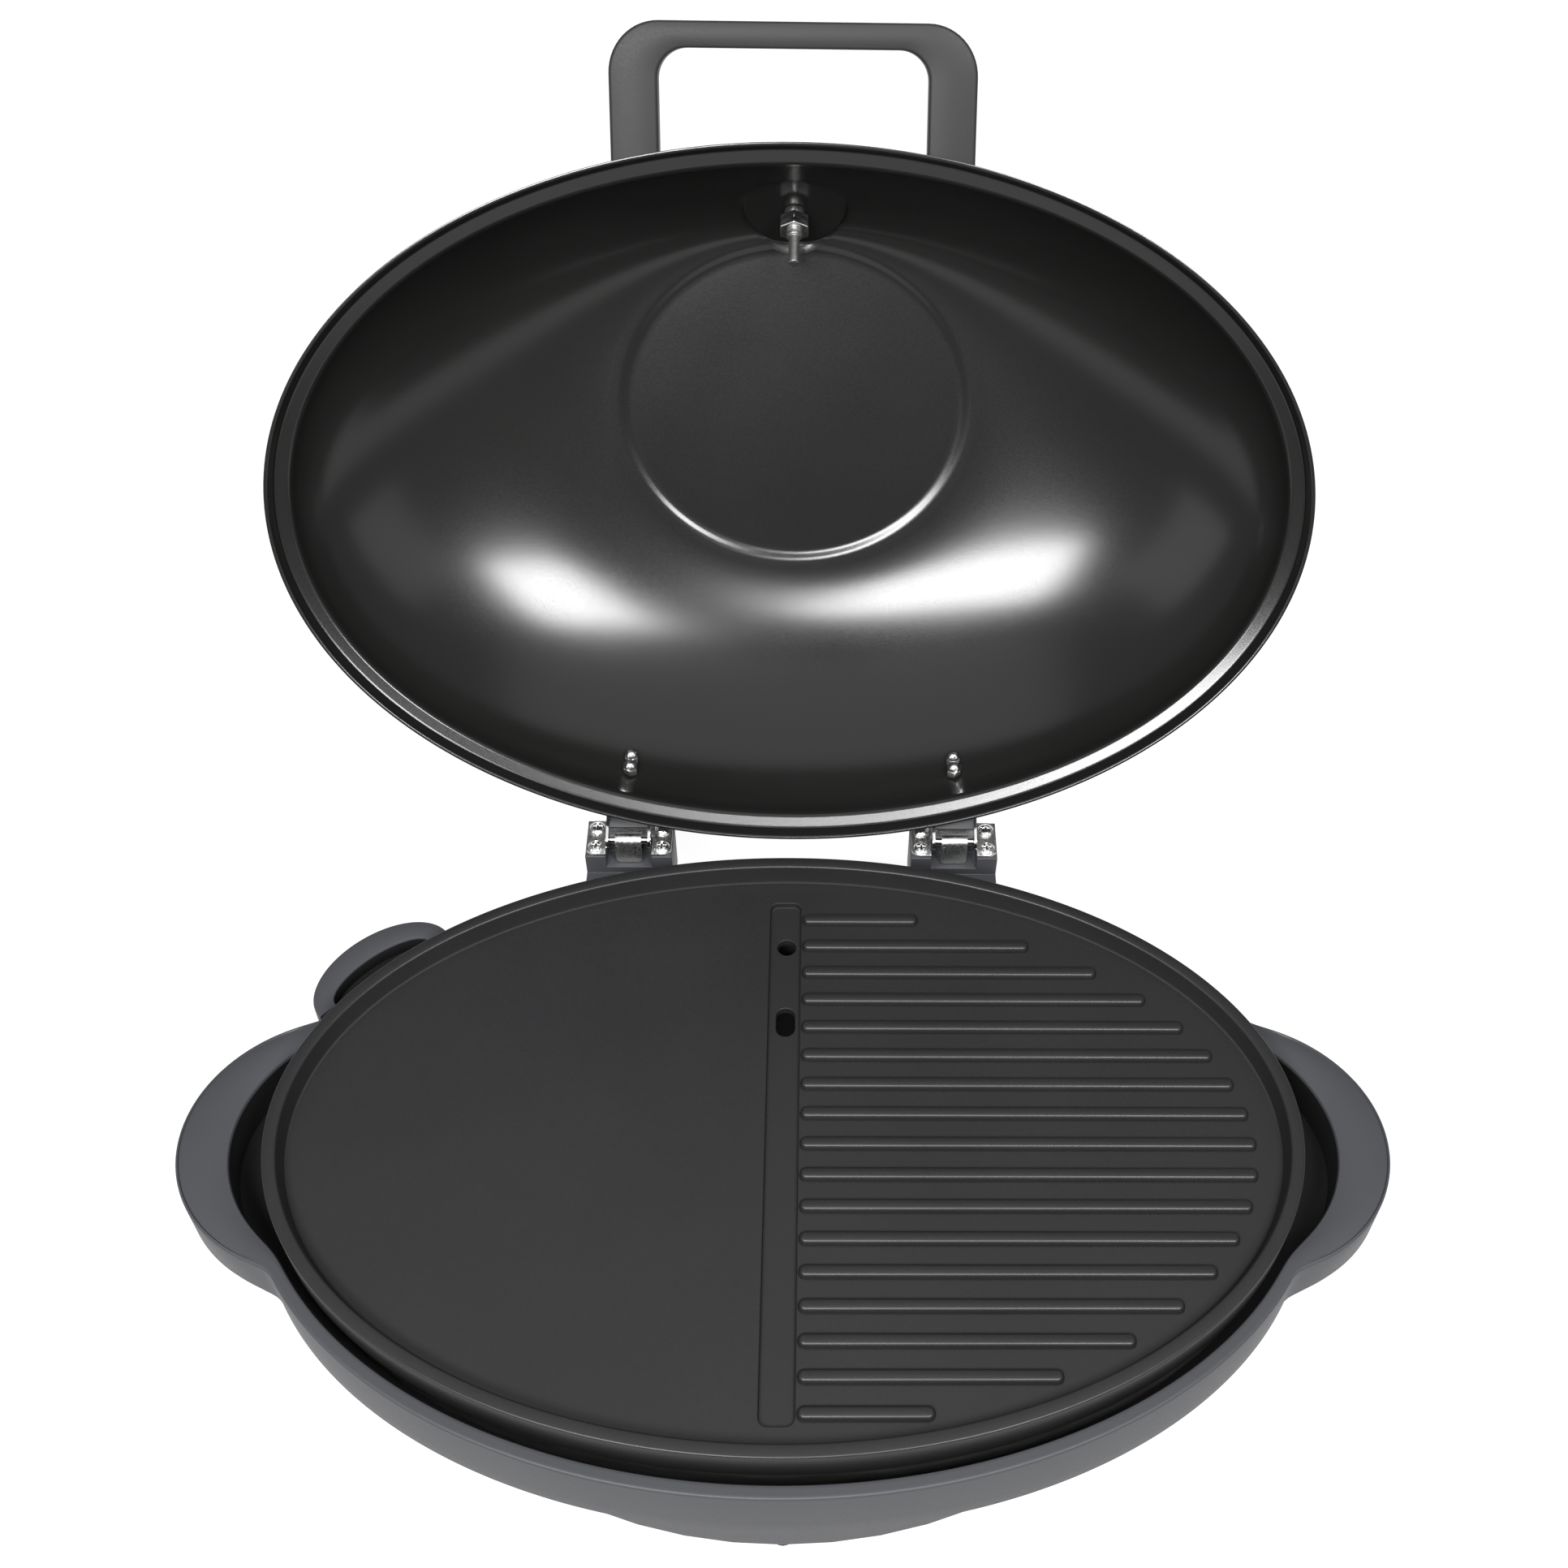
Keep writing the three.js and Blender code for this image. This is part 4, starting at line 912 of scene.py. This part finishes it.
def bridge(body, start, skip, count, top, beadRows):
    # closes the cut edge between the two faces round the thermometer seat
    def outerAt(i, j):
        return start + (top - 1 - i) * count + j % count

    def innerAt(i, j):
        return start + (top + beadRows + i) * count + j % count

    for i in range(skip.shape[0]):
        for j in range(count):
            if not skip[i][j]:
                continue
            sides = (
                ((i - 1, j), (i, j), (i, j + 1)), ((i + 1, j), (i + 1, j + 1), (i + 1, j)),
                ((i, j - 1), (i + 1, j), (i, j)), ((i, j + 1), (i, j + 1), (i + 1, j + 1)),
            )
            for (ni, nj), p, q in sides:
                if 0 <= ni < skip.shape[0] and not skip[ni][nj % count]:
                    body.faces.append([outerAt(*p), outerAt(*q), innerAt(*q), innerAt(*p)])


piece("lidShell", lidMesh(lidSizes, gaugeSizes), enamel, "lid", ["lid_shell"])
print("lid made")


handleSizes = {
    "half": 87.8, "leg": 23.2, "bar": 12.0, "reach": 227.4, "low": 118.0, "thick": 13.0, "corner": 24.0,
    "insideCorner": 14.0, "legStart": 160.0, "soft": 1.6, "arc": 14, "gap": 0.3,
}


def frontOfLid(x, z):
    # the front of the dome at that height and distance off the middle
    a, b, y, _ = domeLevel(lidSizes, domeWay(lidSizes, z, 0), 0)
    return y - b * math.sqrt(1 - (x / a) ** 2)


def handleMesh(s):
    x1, x0 = s["half"], s["half"] - s["leg"]
    y1, y0 = -s["reach"], -s["reach"] + s["bar"]
    outerCorner, innerCorner = s["corner"], s["insideCorner"]
    outer, inner = [(x1, None)], [(x0, None)]
    for k in np.linspace(0.15, 1, 5):
        outer.append((x1, lerp(-s["legStart"], y1 + outerCorner, k)))
        inner.append((x0, lerp(-s["legStart"], y0 + innerCorner, k)))
    for k in range(1, s["arc"] + 1):
        t = math.pi / 2 * k / s["arc"]
        outer.append((x1 - outerCorner * (1 - math.cos(t)), y1 + outerCorner * (1 - math.sin(t))))
        inner.append((x0 - innerCorner * (1 - math.cos(t)), y0 + innerCorner * (1 - math.sin(t))))
    outer = outer + [(-x, y) for x, y in outer[::-1]]
    inner = inner + [(-x, y) for x, y in inner[::-1]]
    low, high, r = s["low"], s["low"] + s["thick"], s["soft"]
    rows = []
    for (ox, oy), (ix, iy) in zip(outer, inner):
        root = oy is None
        o = np.array([ox, 0 if root else oy])
        i = np.array([ix, 0 if root else iy])
        way = (i - o) / np.linalg.norm(i - o)
        section = []
        for base, sign, z0, z1 in ((o, 1, low, high), (i, -1, high, low)):
            step = 1 if z1 > z0 else -1
            for inward, rise in ((1, 0), (0.5, 0.13), (0.13, 0.5), (0, 1)):
                section.append((base + way * sign * r * inward, z0 + step * r * rise))
            for inward, rise in ((0, 1), (0.13, 0.5), (0.5, 0.13), (1, 0)):
                section.append((base + way * sign * r * inward, z1 - step * r * rise))
        ring = []
        for p, z in section:
            y = frontOfLid(p[0], z) - s["gap"] if root else p[1]
            ring.append((p[0], y, z))
        rows.append(ring)
    body = Body(atLid)
    body.grid(rows, capStart=True, capEnd=True)
    return body.mesh("lidHandle", 50)


piece("lidHandle", handleMesh(handleSizes), handlePaint, "lid", ["lid_handle"])
print("handle made")


hingeScrewSizes = {
    "radius": 4.2, "height": 4.3, "shank": 2.0, "seat": -0.45, "rim": 0.9, "dome": 2.6,
    "slot": 0.5, "reach": 2.5, "depth": 1.1, "steps": 64,
}
caseScrewSizes = {
    "radius": 4.0, "height": 28.5, "shank": 2.0, "seat": 12.05, "rim": 1.0, "dome": 2.6,
    "slot": 0.5, "reach": 2.4, "depth": 1.0, "steps": 48,
}
names = sorted(frame["nodes"])
hingeScrews = [n for n in names if n.startswith("hinge_screw")]
caseScrews = [n for n in names if n.startswith("case_screw")]
repeated("hingeScrews", panScrew(hingeScrewSizes), hingeScrews, chrome, "base")
under = panScrew(caseScrewSizes)
under.transform(Matrix.Rotation(math.pi, 4, "X"))
repeated("caseScrews", under, caseScrews, steel, "base")


fittings = [  # start of the node names, finish, body, slot, rounding
    ("hinge_block", plastic, "base", "moulding", {"width": 1.0, "steps": 3}),
    ("hinge_bracket", zinc, "base", "bright_chrome", {"width": 0.35}),
    ("hinge_pin", chrome, "base", "bright_chrome", {"width": 0.3}),
    ("hinge_strap", plastic, "lid", "moulding", {"width": 0.4}),
    ("strap_bar", chrome, "lid", "bright_chrome", {"width": 0.3}),
    ("strap_bolt", chrome, "lid", "bright_chrome", {"width": 0.25}),
    ("cap_nut", chrome, "lid", "bright_chrome", {"width": 0.25}),
    ("handle_bracket", steel, "lid", "plain_steel", {"width": 0.3}),
    ("handle_screw", chrome, "lid", "bright_chrome", {"width": 0.3}),
    ("foot", rubber, "base", "rubber_foot", {"width": 0.5}),
    ("lower_housing", plastic, "base", "moulding", {"width": 0.8}),
    ("drip_tray", steel, "drawer", "plain_steel", {"width": 0.5}),
    ("heat_pan", steel, "base", "plain_steel", {"width": 0.3}),
    ("heating_element", steel, "base", "plain_steel", {"width": 0.2, "bend": 70}),
    ("element_clip", steel, "base", "plain_steel", {"width": 0.2}),
    ("inlet_block", ceramic, "base", "ceramic", {"width": 0.5}),
    ("inlet_pin", chrome, "base", "bright_chrome", {"width": 0.4}),
    ("thermostat_sleeve", steel, "base", "plain_steel", {"width": 0.4}),
    ("thermometer_case", chrome, "lid", "bright_chrome", {"width": 0.4}),
    ("thermometer_stem", steel, "lid", "plain_steel", {"width": 0.3}),
    ("thermometer_nut", chrome, "lid", "bright_chrome", {"width": 0.5}),
    ("thermometer_needle", needleRed, "needle", "needle_red", {"width": 0.15}),
    ("thermometer_lens", lens.material, "lid", "lens", {"width": 0.3}),
]
for start, finish, body, slot, rounding in fittings:
    for node in (n for n in names if n.startswith(start)):
        first, *rest = node.split("_")
        softened(first + "".join(p.capitalize() for p in rest), node, finish, body, slot, **rounding)
for word in ("Left", "Right"):
    # the cheeks of each strap are plated
    strap = bpy.data.objects["hingeStrap" + word]
    low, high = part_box("hinge_strap_" + word.lower())
    strap.data.materials.append(chrome)
    for face in strap.data.polygons:
        away = abs(face.center.x - (low.x + high.x) / 2)
        face.material_index = 1 if away > (high.x - low.x) / 2 - 1.5 * mm else 0
print("fittings made")


def dialMesh(node):
    low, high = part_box(node)
    middle = np.array((low + high) / 2) / mm
    radius = (high.x - low.x) / mm / 2
    turns = np.linspace(0, 2 * math.pi, 96, endpoint=False)
    up = np.cross(needleAxis, (1, 0, 0))
    half, soft, hole = 0.4, 0.15, 3.1
    section = [(hole, -half), (radius - soft, -half), (radius, soft - half)]
    section += [(radius, half - soft), (radius - soft, half), (hole, half)]
    rows = []
    for r, lift in section:
        ring = np.outer(r * np.cos(turns), (1, 0, 0)) + np.outer(r * np.sin(turns), up)
        rows.append(middle + ring + needleAxis * lift)
    body = Body(inPlace)
    body.grid(rows, loop=True)
    mesh = body.mesh("thermometerDial")
    layer = mesh.uv_layers.new(name="face")
    for loop in mesh.loops:
        p = np.array(mesh.vertices[loop.vertex_index].co) / mm - middle
        layer.data[loop.index].uv = (0.5 + p[0] / radius / 2, 0.5 + float(p @ up) / radius / 2)
    return mesh


piece("thermometerDial", dialMesh("thermometer_dial"), dialPrint(), "lid", ["thermometer_dial"])
print("thermometer made")


studio = {
    "floor": 3.0, "glow": 0.93, "pale": ((0.12, 0.12, 0.12), (0.14, 0.14, 0.14)), "gloss": (0.8, 0.9),
    "world": (0.3, 0.3, 0.31), "lamps": [  # place, aim, width, height, power
        ((0.0, 0.1, 2.6), (0, 0, 0), 2.6, 2.2, 16.0),
        ((-1.9, -0.9, 1.3), (0, 0, 0.1), 0.9, 1.3, 5.0),
        ((1.9, -0.9, 1.3), (0, 0, 0.1), 0.9, 1.3, 4.0),
        ((0.62, -0.93, 1.6), (-0.14, 0.17, 0.16), 0.44, 0.5, 33.0),
        ((-0.44, -1.18, 1.48), (0.08, 0.18, 0.15), 0.78, 0.44, 52.0),
    ],
}


def floorFinish(s):
    f = Finish("paleFloor", Specular_IOR_Level=0.1, Emission_Color=(1, 1, 1, 1), Emission_Strength=s["glow"])
    f.drive("Base Color", f.colours(f.noise(3.0), *s["pale"]))
    f.drive("Roughness", f.ranged(f.noise(5.0), *s["gloss"]))
    return f.material


floorMesh = bpy.data.meshes.new("floor")
wide = studio["floor"]
corners = [(-wide, -wide, 0), (wide, -wide, 0), (wide, wide, 0), (-wide, wide, 0)]
floorMesh.from_pydata(corners, [], [(0, 1, 2, 3)])
floor = bpy.data.objects.new("floor", floorMesh)
floorMesh.materials.append(floorFinish(studio))
bpy.context.scene.collection.objects.link(floor)

world = bpy.data.worlds.new("studio")
bpy.context.scene.world = world
world.use_nodes = True
world.node_tree.nodes["Background"].inputs[0].default_value = (*studio["world"], 1)
for k, (at, to, wide, tall, power) in enumerate(studio["lamps"]):
    light = bpy.data.lights.new("softbox" + str(k), "AREA")
    light.shape = "RECTANGLE"
    light.size, light.size_y, light.energy = wide, tall, power
    lamp = bpy.data.objects.new("softbox" + str(k), light)
    turn = (Vector(at) - Vector(to)).to_track_quat("Z", "Y").to_matrix().to_4x4()
    lamp.matrix_world = Matrix.Translation(at) @ turn
    bpy.context.scene.collection.objects.link(lamp)

# the camera stands in front, well above the plate, a little off level
cameraSizes = {
    "at": (13.3, -448.1, 769.7), "down": 48.91, "aside": 1.56, "roll": 1.53,
    "lens": 43.39, "shift": (-0.0428, -0.0153),
}


def makeCamera(s):
    data = bpy.data.cameras.new("camera")
    data.sensor_width, data.lens = 36, s["lens"]
    data.shift_x, data.shift_y = s["shift"]
    down, aside, roll = (math.radians(s[k]) for k in ("down", "aside", "roll"))
    ahead = Vector((math.sin(aside) * math.cos(down), math.cos(aside) * math.cos(down), -math.sin(down)))
    right = Vector((math.cos(aside), -math.sin(aside), 0))
    up = right.cross(ahead)
    tilted = math.cos(roll) * right + math.sin(roll) * up
    above = -math.sin(roll) * right + math.cos(roll) * up
    camera = bpy.data.objects.new("camera", data)
    turn = Matrix((tilted, above, -ahead)).transposed().to_4x4()
    x, y, z = s["at"]
    camera.matrix_world = Matrix.Translation(Vector((x, y + plateY, z + plateSizes["top"])) * mm) @ turn
    bpy.context.scene.collection.objects.link(camera)
    bpy.context.scene.camera = camera


makeCamera(cameraSizes)
bpy.context.scene.view_settings.view_transform = "Standard"
print("studio made")
